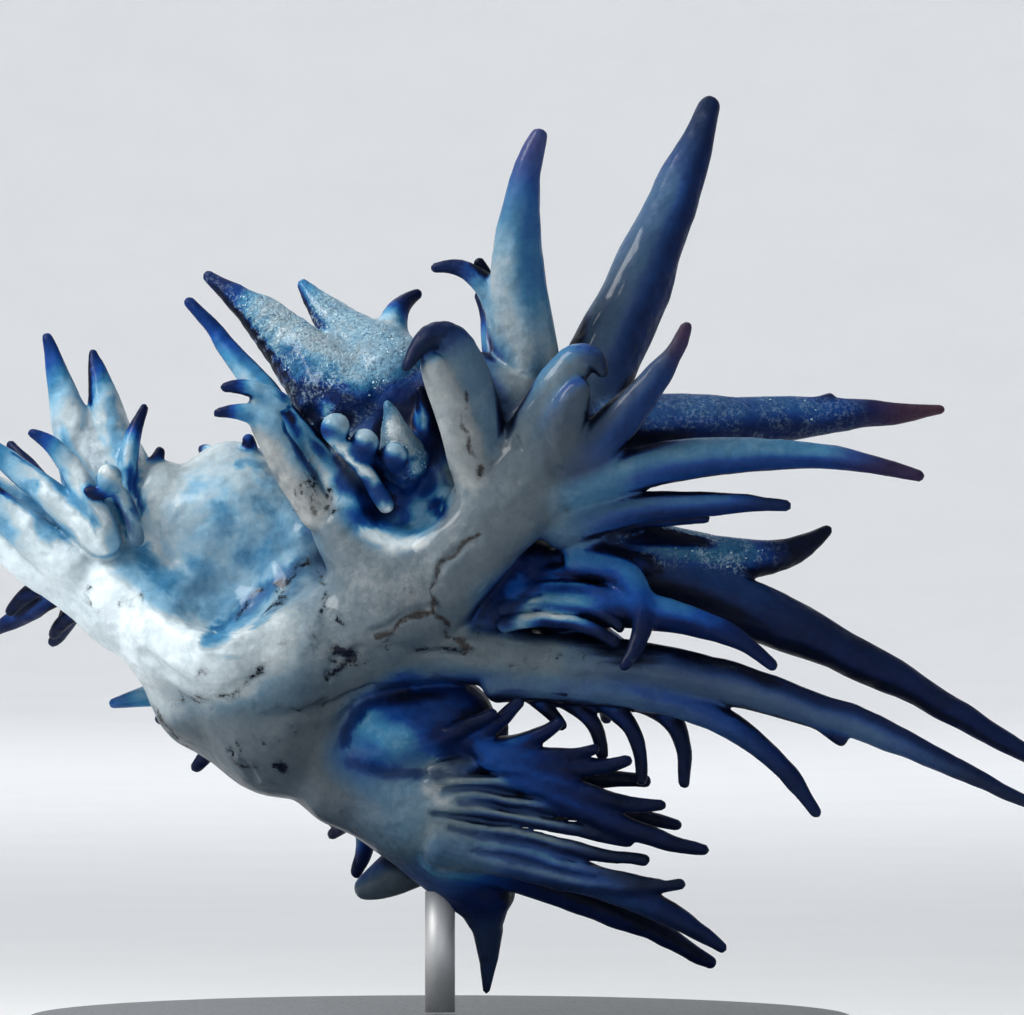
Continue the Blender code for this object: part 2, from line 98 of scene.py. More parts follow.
PALM_FRONT_RIGHT = [(0, -66, 522, 50), (52, -74, 578, 46), (84, -72, 620, 46), (106, -68, 652, 40)]
PALM_FRONT_RIGHT_OUTER = [(60, -70, 590, 44), (100, -68, 598, 38), (125, -60, 570, 26),
                          (160, -34, 556, 28)]
PALM_FRONT_RIGHT_INNER = [(-45, -60, 505, 52), (-96, -56, 558, 34)]
PALM_FRONT_RIGHT_BACK = [(-96, -56, 558, 34), (-84, -22, 615, 38), (-60, 0, 665, 44),
                         (-10, 0, 690, 42), (40, -10, 700, 42), (95, -26, 680, 38)]
PALM_FRONT_RIGHT_CUP = [(-45, -30, 530, 50), (-20, -14, 590, 50), (-10, -8, 650, 46)]
PALM_MIDDLE_RIGHT = [(72, -50, 437, 27), (160, -54, 432, 27)]
MIDDLE_POUCH = [(52, -26, 478, 36), (88, -18, 514, 46), (132, -22, 490, 40), (146, -40, 452, 26)]
PALM_REAR_RIGHT = [(-24, -30, 287, 43), (2, -32, 286, 38)]
PALM_FRONT_LEFT = [(-322, 40, 500, 48), (-352, 50, 520, 46), (-400, 64, 544, 38), (-440, 76, 566, 30)]
PALM_MIDDLE_LEFT = [(-210, 128, 412, 37), (-204, 168, 420, 36)]
PALM_REAR_LEFT = [(-88, 110, 315, 33), (-82, 138, 310, 30)]

# Lumps of the body and how widely each melts into what is there before it.
BODY_LUMPS = [
    (TRUNK_FRONT, 24), (TRUNK_MIDDLE, 24), (TRUNK_REAR, 24), (NECK, 24), (HEAD, 24), (TAIL, 16),
    (BACK_WALL, 20), (FOOT, 10), (LEFT_FLANK, 24), (SHOULDER_RIDGE, 22), (ARM_FRONT_RIGHT, 24),
    (ARM_MIDDLE_RIGHT, 22), (ARM_REAR_RIGHT, 20), (REAR_POUCH, 8), (ARM_FRONT_LEFT, 22),
    (ARM_MIDDLE_LEFT, 18),
    (ARM_REAR_LEFT, 18), (PALM_FRONT_RIGHT, 22), (PALM_FRONT_RIGHT_OUTER, 14),
    (PALM_FRONT_RIGHT_INNER, 14), (PALM_FRONT_RIGHT_BACK, 12), (PALM_FRONT_RIGHT_CUP, 12),
    (PALM_MIDDLE_RIGHT, 18), (MIDDLE_POUCH, 8), (PALM_REAR_RIGHT, 18), (PALM_FRONT_LEFT, 18),
    (PALM_MIDDLE_LEFT, 18), (PALM_REAR_LEFT, 18),
]

# Hollows scooped out of the body: the dish of the back behind the head, and the cup of the palm.
HOLLOWS = [
    ([(-262, -60, 552, 52), (-215, -60, 526, 62), (-160, -76, 534, 44)], 22),
    ([(-66, -106, 616, 32), (-36, -84, 604, 44), (-4, -100, 616, 30)], 10),
    ([(-2, -108, 590, 9)], 6),
]

# Creases of the skin as seen from the front: lists of (x, z), then width, depth and how widely the
# sides of the crease are rounded. They are laid on the surface there.
Crease = namedtuple("Crease", "path width depth round")
CREASES = [
    Crease([(-290, 440), (-268, 423), (-240, 407), (-214, 402), (-192, 410), (-176, 424)], 6, 3, 12),
    Crease([(-172, 377), (-152, 379), (-130, 385), (-107, 391), (-84, 402), (-66, 408)], 4, 2, 9),
    Crease([(-318, 423), (-295, 392), (-267, 359), (-250, 346), (-235, 338)], 5, 3, 8),
    Crease([(38, 560), (24, 549), (14, 543), (2, 530), (-3, 521), (-5, 513)], 3, 1.6, 6),
    Crease([(-66, 465), (-52, 470), (-40, 478), (-28, 484), (-18, 485), (-5, 491)], 3, 2, 6),
    Crease([(-5, 491), (1, 478), (4, 470), (6, 460), (14, 448)], 3, 1.6, 6),
    Crease([(-10, 443), (4, 445), (14, 448), (26, 447), (38, 449)], 3, 2, 5),
    Crease([(-106, 436), (-98, 439), (-91, 437), (-84, 440), (-79, 449)], 5, 3.5, 4),
    Crease([(-110, 432), (-113, 424), (-112, 417)], 3, 3, 3),
    Crease([(-262, 508), (-250, 503), (-236, 500), (-222, 504), (-205, 512)], 7, 2.5, 12),
    Crease([(-226, 462), (-217, 468), (-208, 476), (-200, 490)], 4, 2, 7),
    Crease([(-290, 505), (-284, 508)], 4, 3, 5),
    Crease([(-208, 346), (-205, 344)], 4, 3.5, 4),
    Crease([(-196, 334), (-190, 326), (-184, 314)], 5, 4, 5),
    Crease([(-156, 332), (-154, 326)], 3, 3, 4),
]
ROOT_PITS = [
    Crease([(77, 654), (80, 648)], 5, 5, 6),
    Crease([(114, 624), (119, 622)], 4, 4, 6),
    Crease([(98, 684), (104, 664), (110, 644), (112, 628)], 3, 2, 8),
]

# The grooves between the bars of the rear fan: width, depth and rounding, then half-width, tone and
# strength of the painted shade laid in them. GROOVE_SHARES are the places along the bars that they run
# through. They start in one of three places in turn.
BAR_GROOVE = (3.4, 3.4, 3)
BAR_GROOVE_PAINTED_SHADE = (3.0, 0.76, 0.65)
GROOVE_START = 0.02
GROOVE_STAGGER = 0.07
GROOVE_SHARES = (0.24, 0.38, 0.52, 0.66)

# ----------------------------------------
# Markings of one finger. Tones run from 0, white, over pale blue and cobalt to 1, blue-black. deep is
# the tone of the side that faces the angle side (degrees, 0 to +X and 90 up). Where that side faces
# down or right, away from the light, its deeper tone is painted shade laid over the finger's own blue;
# where it faces up or left it is the finger's own blue. The tip takes its own tone at the share tip_at
# of the length, and fade is the share over which it comes in.
Marking = namedtuple(
    "Marking", "light deep side band tip_at tip_tone metal grey brown fade",
    defaults=(0.0, 0.0, 0.0, 0.25))

MARKINGS = {
    "frosted": Marking(0.05, 0.42, 60, 0.1, 0.98, 0.80, fade=0.5),
    "frosted_left": Marking(0.02, 0.22, 165, 0.25, 0.97, 0.80, fade=0.55),
    "bone": Marking(0.12, 0.32, -20, 0.1, 1.3, 0.7, grey=0.9),
    "hook": Marking(0.34, 0.46, -90, 0.0, 0.90, 0.90, fade=0.4),
    "foil": Marking(0.20, 0.76, -55, -0.05, 0.90, 0.84, metal=1.0),
    "foil_pale": Marking(0.26, 0.74, -60, 0.1, 0.97, 0.50, metal=1.0),
    "foil_teal": Marking(0.40, 0.84, -70, 0.35, 0.72, 1.0, metal=1.0),
    "pale_hook": Marking(0.12, 0.42, -10, 0.2, 0.82, 0.92, fade=0.4),
    "ball": Marking(0.24, 0.76, -115, 0.1, 2.0, 0.9, grey=0.4),
    "stem": Marking(0.60, 0.84, -10, -0.1, 2.0, 0.9),
    "grey_stem": Marking(0.10, 0.30, -60, 0.1, 2.0, 0.9, grey=0.6),
    "pale_ball": Marking(0.06, 0.40, -110, 0.1, 2.0, 0.9, grey=0.4),
    "pale_stem": Marking(-0.25, 0.20, -10, 0.3, 2.0, 0.9, grey=0.2),
    "shell": Marking(0.0, 0.20, -60, 0.3, 2.0, 0.5, metal=0.4, grey=0.5),
    "arch": Marking(0.42, 0.80, 115, 0.2, 0.74, 0.92, grey=0.7, fade=0.34),
    "putty": Marking(0.15, 0.42, 100, 0.5, 1.2, 0.5, grey=0.85),
    "inner": Marking(0.50, 0.66, 100, 0.4, 1.2, 0.5, grey=0.95),
    "blue_grey": Marking(0.36, 0.62, -30, 0.1, 0.82, 0.90, metal=0.1, grey=0.3, fade=0.4),
    "mauve": Marking(0.16, 0.52, -10, 0.0, 0.80, 0.62, grey=0.5, brown=0.5, fade=0.5),
    "giant": Marking(0.47, 0.82, -18, 0.2, 0.97, 0.84, grey=0.75, brown=0.0),
    "slate": Marking(0.36, 0.50, 100, 0.4, 0.86, 0.84, grey=0.9, fade=0.3),
    "slate_deep": Marking(0.46, 0.80, -80, 0.1, 0.92, 0.86, grey=0.5),
    "slate_brown": Marking(0.56, 0.76, -50, 0.0, 0.90, 0.78, grey=0.85, brown=0.6),
    "mottled": Marking(0.50, 0.84, -85, 0.0, 0.84, 0.88, metal=0.35, grey=0.2, brown=0.9),
    "sky": Marking(0.36, 0.74, -80, 0.1, 0.94, 0.88, grey=0.45, brown=0.4),
    "navy": Marking(0.84, 0.92, 90, 0.2, 0.9, 0.95),
    "violet": Marking(0.60, 0.92, -60, -0.1, 0.60, 0.90, grey=0.4),
    "cobalt": Marking(0.48, 0.88, -80, 0.0, 0.86, 0.92, fade=0.4),
    "cobalt_hook": Marking(0.50, 0.88, -90, 0.1, 0.78, 0.94, fade=0.4),
    "navy_hook": Marking(0.64, 0.92, -90, 0.1, 0.60, 0.96, fade=0.4),
    "azure": Marking(0.28, 0.44, -90, 0.1, 0.95, 0.60, fade=0.4),
    "ridge": Marking(0.50, 0.90, 75, 0.3, 0.94, 0.90, grey=0.75),
    "grey_to_cobalt": Marking(0.50, 0.66, 80, -0.1, 0.90, 0.90, grey=0.6, fade=0.5),
    "dark_hook": Marking(0.76, 0.92, -20, 0.1, 0.65, 0.97),
    "bar": Marking(0.24, 0.94, -80, 0.0, 0.85, 0.94, grey=0.9, fade=0.35),
    "lit_bar": Marking(0.08, 0.88, -80, -0.15, 0.86, 0.94, grey=0.4, fade=0.35),
    "navy_bar": Marking(0.44, 0.92, -80, -0.35, 0.80, 0.94, fade=0.35),
    "plain": Marking(0.46, 0.80, -60, 0.1, 0.86, 0.92, grey=0.2, fade=0.35),
    "feeler": Marking(0.30, 0.55, -90, 0.1, 0.80, 0.86, fade=0.3),
}

# One finger (ceras): a bent, tapering round. root and tip are (x, y, z), bend is (x, z) half-way in
# depth between them, width is the diameter near the root and a higher taper makes a blunter finger.
# end is the radius of the round tip.
Finger = namedtuple("Finger", "root bend tip width marking taper end", defaults=(1.5, 6.0))

FINGERS_FRONT_RIGHT = [
    Finger((-94, -60, 590), (-152, 678), (-250, 30, 794), 35, "frosted", 2.0),
    Finger((-120, -66, 580), (-158, 640), (-184, -64, 688), 36, "bone", 4.0, 8.0),
    Finger((-160, -60, 690), (-186, 712), (-214, -70, 708), 26, "hook", 1.0, 5.0),
    Finger((-166, -70, 668), (-192, 690), (-218, -78, 684), 26, "hook", 1.0, 5.0),
    Finger((-92, 8, 690), (-150, 758), (-233, 60, 821), 104, "foil", 0.9),
    Finger((-52, 20, 718), (-98, 764), (-138, 80, 812), 100, "foil_pale", 0.9),
    Finger((-46, 16, 700), (-62, 786), (-23, 60, 801), 44, "pale_hook", 1.2),
    Finger((-52, -68, 590), (-74, 624), (-102, -96, 654), 18, "pale_stem", 4.0, 8.0),
    Finger((-48, -34, 608), (-58, 636), (-72, -90, 642), 18, "stem", 4.0, 8.0),
    Finger((-28, -34, 606), (-34, 626), (-44, -86, 630), 18, "stem", 4.0, 8.0),
    Finger((-36, -58, 636), (-42, 670), (-50, -84, 690), 50, "shell", 0.8, 5.0),
    Finger((-16, -40, 650), (-10, 690), (-18, -66, 704), 24, "pale_hook"),
    Finger((48, -76, 620), (22, 820), (-30, -132, 728), 52, "arch"),
    Finger((38, -92, 596), (20, 672), (-4, -118, 727), 38, "putty", 3.0, 13.0),
    Finger((72, -20, 740), (50, 838), (-3, -10, 827), 28, "blue_grey"),
    Finger((62, 0, 740), (50, 810), (38, 5, 830), 20, "blue_grey"),
    Finger((90, -12, 720), (62, 865), (100, -40, 957), 62, "mauve", 1.7, 8.0),
    Finger((125, -8, 660), (200, 800), (270, 90, 990), 78, "giant", 2.0, 13.0),
    Finger((84, -86, 630), (136, 772), (162, -116, 722), 50, "slate", 2.0, 7.0),
    Finger((104, -92, 625), (125, 680), (138, -120, 704), 46, "inner", 3.0, 12.0),
    Finger((124, -86, 628), (206, 684), (243, -134, 764), 52, "slate_brown", 1.2),
    Finger((170, -8, 662), (340, 676), (502, 50, 685), 76, "mottled", 1.1),
    Finger((360, 26, 680), (378, 690), (391, 30, 694), 15, "dark_hook"),
    Finger((110, -80, 600), (300, 668), (473, -112, 619), 50, "sky", 1.4),
    Finger((122, -72, 570), (235, 598), (342, -100, 588), 36, "slate_deep", 1.6),
    Finger((122, -52, 558), (190, 578), (262, -50, 578), 24, "slate_deep"),
    Finger((150, -24, 552), (330, 512), (388, 12, 565), 70, "foil_teal", 1.2),
]

FINGERS_MIDDLE_RIGHT = [
    Finger((150, -12, 515), (290, 530), (622, -34, 318), 76, "violet"),
    Finger((115, -62, 488), (250, 500), (330, -112, 432), 44, "cobalt"),
    Finger((140, -58, 434), (320, 430), (582, -92, 297), 54, "ridge"),
    Finger((370, -76, 380), (385, 366), (398, -80, 356), 15, "dark_hook"),
    Finger((140, -58, 540), (240, 508), (183, -112, 432), 36, "cobalt_hook", 1.6),
    Finger((64, -72, 472), (130, 486), (174, -104, 454), 17, "lit_bar"),
    Finger((64, -62, 486), (140, 504), (178, -96, 470), 17, "lit_bar"),
    Finger((70, -56, 500), (150, 522), (180, -88, 486), 18, "navy_bar"),
    Finger((84, -52, 512), (150, 540), (196, -78, 506), 18, "navy_bar"),
    Finger((92, -44, 526), (160, 560), (208, -66, 526), 18, "cobalt_hook"),
    Finger((120, -24, 530), (190, 540), (214, -40, 500), 24, "navy"),
    Finger((60, -54, 412), (295, 424), (372, -86, 287), 36, "grey_to_cobalt", 2.0),
    Finger((180, -42, 400), (252, 388), (242, -62, 315), 24, "dark_hook"),
    Finger((145, -44, 400), (202, 385), (200, -66, 318), 20, "dark_hook"),
    Finger((112, -48, 402), (158, 388), (160, -48, 343), 18, "dark_hook"),
    Finger((88, -48, 404), (112, 388), (122, -50, 372), 16, "dark_hook"),
]

REAR_BARS = [
    Finger((-6, -54, 324), (68, 342), (132, -54, 322), 18, "bar"),
    Finger((-8, -60, 312), (73, 317), (152, -62, 300), 18, "bar"),
    Finger((-10, -60, 301), (82, 299), (170, -66, 278), 18, "bar"),
    Finger((-10, -63, 290), (90, 280), (188, -68, 257), 18, "bar"),
    Finger((-10, -61, 279), (97, 256), (202, -68, 237), 18, "bar"),
    Finger((-8, -62, 268), (105, 233), (216, -70, 214), 18, "bar"),
    Finger((-4, -58, 257), (140, 200), (238, -72, 212), 22, "bar", 2.0),
]

FINGERS_REAR_RIGHT = REAR_BARS + [
    Finger((4, -54, 250), (170, 232), (281, -62, 151), 42, "grey_to_cobalt", 2.0),
    Finger((0, -38, 242), (130, 212), (271, -2, 134), 38, "cobalt", 2.0),
    Finger((-4, -50, 352), (24, 372), (52, -84, 384), 22, "navy_hook"),
    Finger((10, -48, 348), (48, 364), (77, -80, 392), 22, "cobalt_hook"),
    Finger((24, -50, 350), (92, 346), (120, -78, 376), 24, "cobalt_hook"),
    Finger((34, -56, 354), (120, 330), (153, -82, 347), 22, "navy_hook"),
    Finger((40, -60, 352), (146, 314), (184, -82, 337), 24, "navy_hook", 1.8),
    Finger((44, -62, 346), (168, 286), (220, -84, 291), 24, "navy_hook", 1.8),
    Finger((48, -62, 338), (200, 254), (263, -84, 247), 26, "navy_hook", 1.8),
    Finger((50, -40, 320), (150, 318), (204, -40, 316), 26, "navy"),
    Finger((60, -30, 290), (176, 290), (236, -20, 270), 28, "navy"),
]

FINGERS_FRONT_LEFT = [
    Finger((-345, 50, 590), (-374, 686), (-397, 70, 759), 66, "frosted_left", 0.95, 5.0),
    Finger((-314, 52, 600), (-338, 690), (-350, 78, 742), 68, "frosted_left", 0.90, 5.0),
    Finger((-316, 16, 596), (-316, 652), (-296, 36, 688), 21, "pale_hook", 1.8, 5.0),
    Finger((-300, 42, 610), (-288, 628), (-282, 50, 644), 18, "dark_hook", 1.5, 6.0),
    Finger((-334, 0, 552), (-366, 640), (-407, -6, 663), 32, "frosted_left", 1.8, 5.0),
    Finger((-304, -8, 556), (-308, 596), (-331, -18, 612), 17, "grey_stem", 4.0, 8.0),
    Finger((-334, -16, 606), (-342, 600), (-350, -20, 604), 17, "dark_hook", 1.5, 6.0),
    Finger((-340, 4, 554), (-410, 612), (-474, 24, 670), 36, "frosted_left", 1.8, 5.0),
    Finger((-370, 18, 528), (-424, 566), (-492, 40, 640), 46, "frosted_left", 2.0),
    Finger((-376, 48, 544), (-436, 604), (-505, 76, 634), 44, "frosted_left", 2.0),
    Finger((-400, 60, 548), (-460, 566), (-528, 84, 590), 42, "frosted_left", 2.0),
    Finger((-380, 84, 520), (-420, 500), (-434, 110, 482), 20, "dark_hook"),
    Finger((-345, 80, 500), (-375, 480), (-390, 120, 458), 20, "dark_hook"),
]

FINGERS_LEFT_PEEKING = [
    Finger((-220, 150, 410), (-290, 402), (-330, 160, 388), 34, "azure", 1.2),
]

FINGERS_REAR_PEEKING = [
    Finger((-6, 66, 244), (-42, 218), (-76, 80, 204), 50, "inner", 2.5, 12.0),
    Finger((-88, 118, 292), (-96, 270), (-108, 122, 268), 20, "dark_hook"),
    Finger((-40, 90, 270), (-26, 240), (-10, 104, 206), 30, "plain"),
]

FEELERS = [
    Finger((-238, 150, 592), (-256, 610), (-266, 190, 612), 17, "feeler"),
    Finger((-180, 146, 592), (-164, 608), (-156, 186, 610), 17, "feeler"),
    Finger((-228, 112, 634), (-236, 646), (-242, 150, 646), 17, "feeler"),
    Finger((-192, 66, 634), (-190, 646), (-192, 58, 656), 17, "feeler"),
]

# Round heads of the small fingers that curl over in the cup and beside it.
FINGER_BALLS = [
    ([(-103, -94, 665, 15.5)], "ball"),
    ([(-73, -92, 650, 14.5)], "ball"),
    ([(-44, -88, 639, 13.5)], "ball"),
    ([(-331, -19, 618, 13)], "pale_ball"),
]

# A spray of fingers laid out by rule: rows that spread from a palm about its outward axis.
Spray = namedtuple("Spray", "centre outward across rows length width curl")
Row = namedtuple("Row", "lean count half_spread share")

SPRAYS = [
    Spray((-204, 172, 424), (0.20, 0.93, 0.30), (0.55, 0.0, 0.83),
          [Row(-34, 5, 62, 0.62), Row(-8, 6, 82, 1.0), Row(20, 5, 74, 0.85)], 195, 30, 0.16),
    Spray((-80, 142, 308), (0.45, 0.85, 0.18), (0.30, -0.10, 0.95),
          [Row(-26, 4, 58, 0.6), Row(-2, 5, 76, 1.0), Row(24, 4, 62, 0.8)], 150, 26, 0.18),
    Spray((-360, 78, 528), (-0.30, 0.92, 0.36), (0.30, -0.10, 0.95),
          [Row(-10, 4, 60, 0.8), Row(18, 4, 56, 1.0)], 180, 30, 0.16),
    Spray((60, 10, 690), (0.18, 0.95, 0.10), (-0.55, 0.0, 0.83),
          [Row(-14, 4, 58, 1.0), Row(16, 4, 50, 0.8)], 150, 32, 0.14),
    Spray((125, -8, 478), (0.50, 0.85, -0.05), (0.10, 0.10, 0.95),
          [Row(0, 4, 46, 1.0)], 150, 28, 0.14),
    Spray((14, -14, 288), (0.50, 0.82, -0.10), (0.10, 0.10, 0.95),
          [Row(0, 4, 48, 1.0)], 130, 24, 0.14),
]
SPRAY_ROOT = 8             # how far out of the palm's centre a spray's fingers start
FINGER_RINGS = 14          # points along one finger
FINGER_BLEND = 7.0         # how widely a finger melts into the palm, and the most of its width
FINGER_BLEND_SHARE = 0.17
BALL_BLEND = 3.0           # how widely the round heads melt in
END_SHARE = 0.55           # size at the ends of a row or a crease, and how much more in its middle
MIDDLE_GAIN = 0.45

# Seed, size of the lumps and greatest shift of the two soft noises that shift the skin a little.
WARPS = ((20, 42.0, 2.6), (30, 17.0, 1.1))

# Patches of colour on the body: (x, y, z), radius, then tone, grey and how strongly.
Patch = namedtuple("Patch", "place radius tone grey strength", defaults=(0.0, 1.0))
PATCHES = [
    Patch((-300, 0, 480), 80, 0.02, 0.1),
    Patch((-400, 60, 540), 110, 0.02),
    Patch((-235, -70, 450), 60, 0.02, 0.1),
    Patch((-165, -90, 458), 34, 0.10, 0.3, 0.8),
    # Painted shade: the low body under the rear arm, darker and greyer.
    Patch((-96, -40, 366), 72, 0.48, 1.0, 0.85),
    Patch((-205, 0, 640), 60, 0.15, strength=0.9),
    Patch((-200, -10, 540), 76, 0.30, 0.1, 0.8),
    Patch((-66, -80, 585), 30, 0.66),
    Patch((-36, -80, 566), 30, 0.30, strength=0.9),
    Patch((-10, -60, 585), 30, 0.46),
    Patch((-40, -40, 620), 34, 0.80),
    Patch((-30, -40, 670), 50, 0.88),
    Patch((-42, -46, 358), 60, 0.70),
    Patch((20, -16, 372), 70, 0.80),
    Patch((-30, -50, 290), 50, 0.44, 0.7, 0.9),
    Patch((10, -50, 280), 54, 0.34, 0.5, 0.9),
    Patch((80, -20, 520), 66, 0.72),
    Patch((60, -30, 476), 34, 0.74),
    Patch((140, -10, 510), 66, 0.84),
    Patch((150, -10, 670), 60, 0.80),
    Patch((20, -5, 690), 60, 0.86),
    Patch((40, 4, 190), 66, 0.86),
    Patch((42, 8, 130), 50, 0.80, 0.6),
    Patch((0, -10, 236), 44, 0.62, 0.5, 0.8),
]

# Soft stains on the surface that faces the front, and painted shade and painted highlights laid on it
# the same way: a path of (x, z), its half-width, its tone and how strongly.
StainOrPaintedLight = namedtuple("StainOrPaintedLight", "path reach tone strength")
STAINS_AND_PAINTED_LIGHT = [
    StainOrPaintedLight([(-316, 556), (-304, 530), (-282, 508), (-252, 496), (-218, 490)], 20, 0.42, 0.75),
    StainOrPaintedLight([(-300, 550), (-290, 528), (-270, 512)], 10, 0.56, 0.6),
    StainOrPaintedLight([(60, 480), (72, 504), (92, 526)], 15, 0.84, 0.97),
    StainOrPaintedLight([(-150, 738), (-118, 714), (-92, 698), (-60, 688)], 15, 0.72, 0.6),
    # Painted highlight: a soft light patch on the rear pouch.
    StainOrPaintedLight([(-84, 372), (-66, 364), (-46, 352)], 30, 0.48, 0.6),
    StainOrPaintedLight([(-80, 378), (-62, 366), (-40, 356)], 14, 0.34, 0.6),
    # A dark line round the rear pouch: its own darker edge on the left, painted shade under the body's
    # edge along its top.
    StainOrPaintedLight([(-98, 352), (-86, 384), (-48, 406), (10, 414)], 5, 0.82, 0.8),
    StainOrPaintedLight([(-88, 333), (-48, 323), (0, 317)], 6, 0.78, 0.75),
    StainOrPaintedLight([(70, 500), (78, 516)], 5, 0.62, 0.9),
    StainOrPaintedLight([(-129, 535), (-152, 520), (-176, 502), (-199, 479), (-227, 455)], 7, 0.66, 0.7),
    StainOrPaintedLight([(-140, 508), (-165, 486), (-182, 470)], 4, 0.58, 0.6),
    StainOrPaintedLight([(-224, 586), (-214, 572)], 10, 0.56, 0.5),
    StainOrPaintedLight([(-200, 542), (-180, 532), (-172, 540)], 10, 0.56, 0.5),
    StainOrPaintedLight([(-164, 570), (-156, 552)], 10, 0.50, 0.5),
    StainOrPaintedLight([(-248, 532), (-232, 522)], 9, 0.52, 0.5),
    StainOrPaintedLight([(-252, 600), (-240, 612)], 8, 0.40, 0.5),
    StainOrPaintedLight([(-203, 630), (-193, 635), (-185, 630)], 4, 0.56, 0.6),
    StainOrPaintedLight([(-170, 612), (-158, 622)], 7, 0.46, 0.5),
    StainOrPaintedLight([(-182, 592), (-172, 584)], 6, 0.46, 0.5),
    StainOrPaintedLight([(-212, 658), (-196, 664)], 6, 0.38, 0.4),
    StainOrPaintedLight([(-94, 612), (-66, 600), (-40, 604), (-14, 610)], 13, 0.72, 0.95),
    StainOrPaintedLight([(-80, 640), (-60, 632), (-34, 622)], 9, 0.80, 0.8),
    # Painted shade in the gaps between the fingers of the front left fan.
    StainOrPaintedLight([(-391, 622), (-374, 600), (-345, 572)], 6, 0.52, 0.8),
    StainOrPaintedLight([(-413, 606), (-399, 562), (-376, 560)], 8, 0.46, 0.75),
    StainOrPaintedLight([(-326, 598), (-316, 578), (-310, 566)], 3, 0.72, 0.8),
    StainOrPaintedLight([(-312, 624), (-306, 602), (-301, 586)], 6, 0.78, 0.85),
    StainOrPaintedLight([(-331, 696), (-324, 654), (-324, 630)], 7, 0.42, 0.8),
    StainOrPaintedLight([(-358, 700), (-358, 668)], 5, 0.32, 0.7),
    StainOrPaintedLight([(-434, 562), (-446, 574)], 9, 0.40, 0.7),
    StainOrPaintedLight([(-102, 636), (-88, 616), (-80, 602)], 5, 0.84, 0.95),
    StainOrPaintedLight([(-30, 580), (-10, 582), (8, 598)], 13, 0.33, 0.95),
    StainOrPaintedLight([(-42, 606), (-38, 592), (-34, 578)], 7, 0.72, 0.9),
    StainOrPaintedLight([(-142, 708), (-112, 702), (-84, 692)], 10, 0.86, 0.9),
    # Painted highlight on the palm's edge at the roots of the rear bars.
    StainOrPaintedLight([(-12, 308), (4, 300)], 9, 0.16, 0.6),
    StainOrPaintedLight([(-5, 589), (-2, 586)], 8, 0.80, 1.0),
    StainOrPaintedLight([(-72, 562), (-42, 549), (-20, 552)], 6, 0.05, 0.8),
    StainOrPaintedLight([(14, 570), (20, 600), (8, 626)], 9, 0.30, 0.8),
    StainOrPaintedLight([(-128, 545), (-134, 520), (-142, 500), (-170, 478), (-210, 468)], 5, 0.24, 0.4),
    StainOrPaintedLight([(10, 360), (20, 340)], 16, 0.92, 0.8),
    # Painted shade under the middle right arm.
    StainOrPaintedLight([(40, 400), (10, 408), (-20, 412)], 7, 0.72, 0.7),
]

# Thin ragged lines and specks on that surface: paths of (x, z) and their half-width. Cracks are
# blue-black and veins are brown.
Line = namedtuple("Line", "path width")
CRACKS = [
    Line([(-129, 535), (-152, 520), (-176, 502), (-199, 479)], 2.0),
    Line([(-150, 522), (-160, 498), (-174, 480)], 1.4),
    Line([(-115, 502), (-120, 488), (-122, 474)], 1.6),
    Line([(-104, 448), (-92, 440), (-80, 434)], 4.0),
    Line([(-92, 440), (-104, 428), (-114, 420)], 2.2),
    Line([(-84, 452), (-88, 444)], 1.6),
    Line([(-46, 498), (-45, 490)], 1.8),
    Line([(-21, 443), (0, 445), (16, 446), (35, 441)], 1.2),
    Line([(-260, 399), (-232, 399), (-204, 399), (-185, 422), (-152, 455)], 1.0),
    Line([(-166, 390), (-138, 380), (-110, 399)], 1.2),
    Line([(-251, 345), (-249, 342)], 3.0),
    Line([(-209, 343), (-199, 333), (-185, 329)], 3.0),
    Line([(-157, 333), (-154, 328)], 3.0),
    Line([(-176, 352), (-160, 356)], 1.0),
    Line([(-118, 412), (-108, 408)], 1.2),
    Line([(-348, 486), (-344, 482)], 1.4),
    Line([(-300, 500), (-296, 494)], 1.2),
    Line([(-222, 438), (-214, 436)], 1.2),
    Line([(-238, 424), (-230, 426)], 1.0),
    Line([(-316, 420), (-290, 388), (-262, 356)], 0.8),
    Line([(56, 604), (66, 600)], 1.2),
    Line([(120, 588), (128, 584)], 1.2),
]
VEINS = [
    Line([(40, 560), (26, 548), (14, 543), (2, 532), (-6, 515)], 2.2),
    Line([(-58, 465), (-40, 474), (-22, 482), (-7, 484)], 3.2),
    Line([(-7, 484), (4, 476), (10, 466), (17, 455), (28, 446)], 3.6),
    Line([(-7, 484), (-9, 500), (-4, 512)], 3.0),
    Line([(-40, 474), (-52, 456)], 1.6),
    Line([(38, 630), (43, 620)], 4.0),
    Line([(-120, 520), (-116, 512)], 1.6),
    Line([(-30, 512), (-24, 506)], 1.6),
    Line([(24, 700), (20, 668), (34, 640)], 1.2),
    Line([(-128, 640), (-138, 610), (-142, 590)], 1.2),
    Line([(-116, 640), (-124, 606), (-126, 584)], 1.0),
]

# Clusters of specks: middle (x, z), reach along x and z, how many. Each speck is a very short line,
# at most SPECK_LENGTH along x and along z.
Speckle = namedtuple("Speckle", "middle reach count")
SPECKLES = [
    Speckle((-118, 598), (24, 18), 22),
    Speckle((-112, 462), (22, 26), 16),
    Speckle((-70, 452), (30, 20), 8),
    Speckle((-150, 372), (50, 26), 12),
    Speckle((-320, 490), (30, 20), 5),
    Speckle((-240, 410), (30, 24), 6),
    Speckle((110, 440), (60, 12), 16),
    Speckle((230, 430), (60, 12), 10),
    Speckle((60, 470), (40, 30), 6),
]
SPECK_SEED = 11
SPECK_LENGTH = 4
SPECK_WIDTHS = (0.4, 1.3)

# ----------------------------------------
# How the markings are laid on. A pair of numbers is a range over which an effect comes in.

SKIN_NOISE_SEED = 7

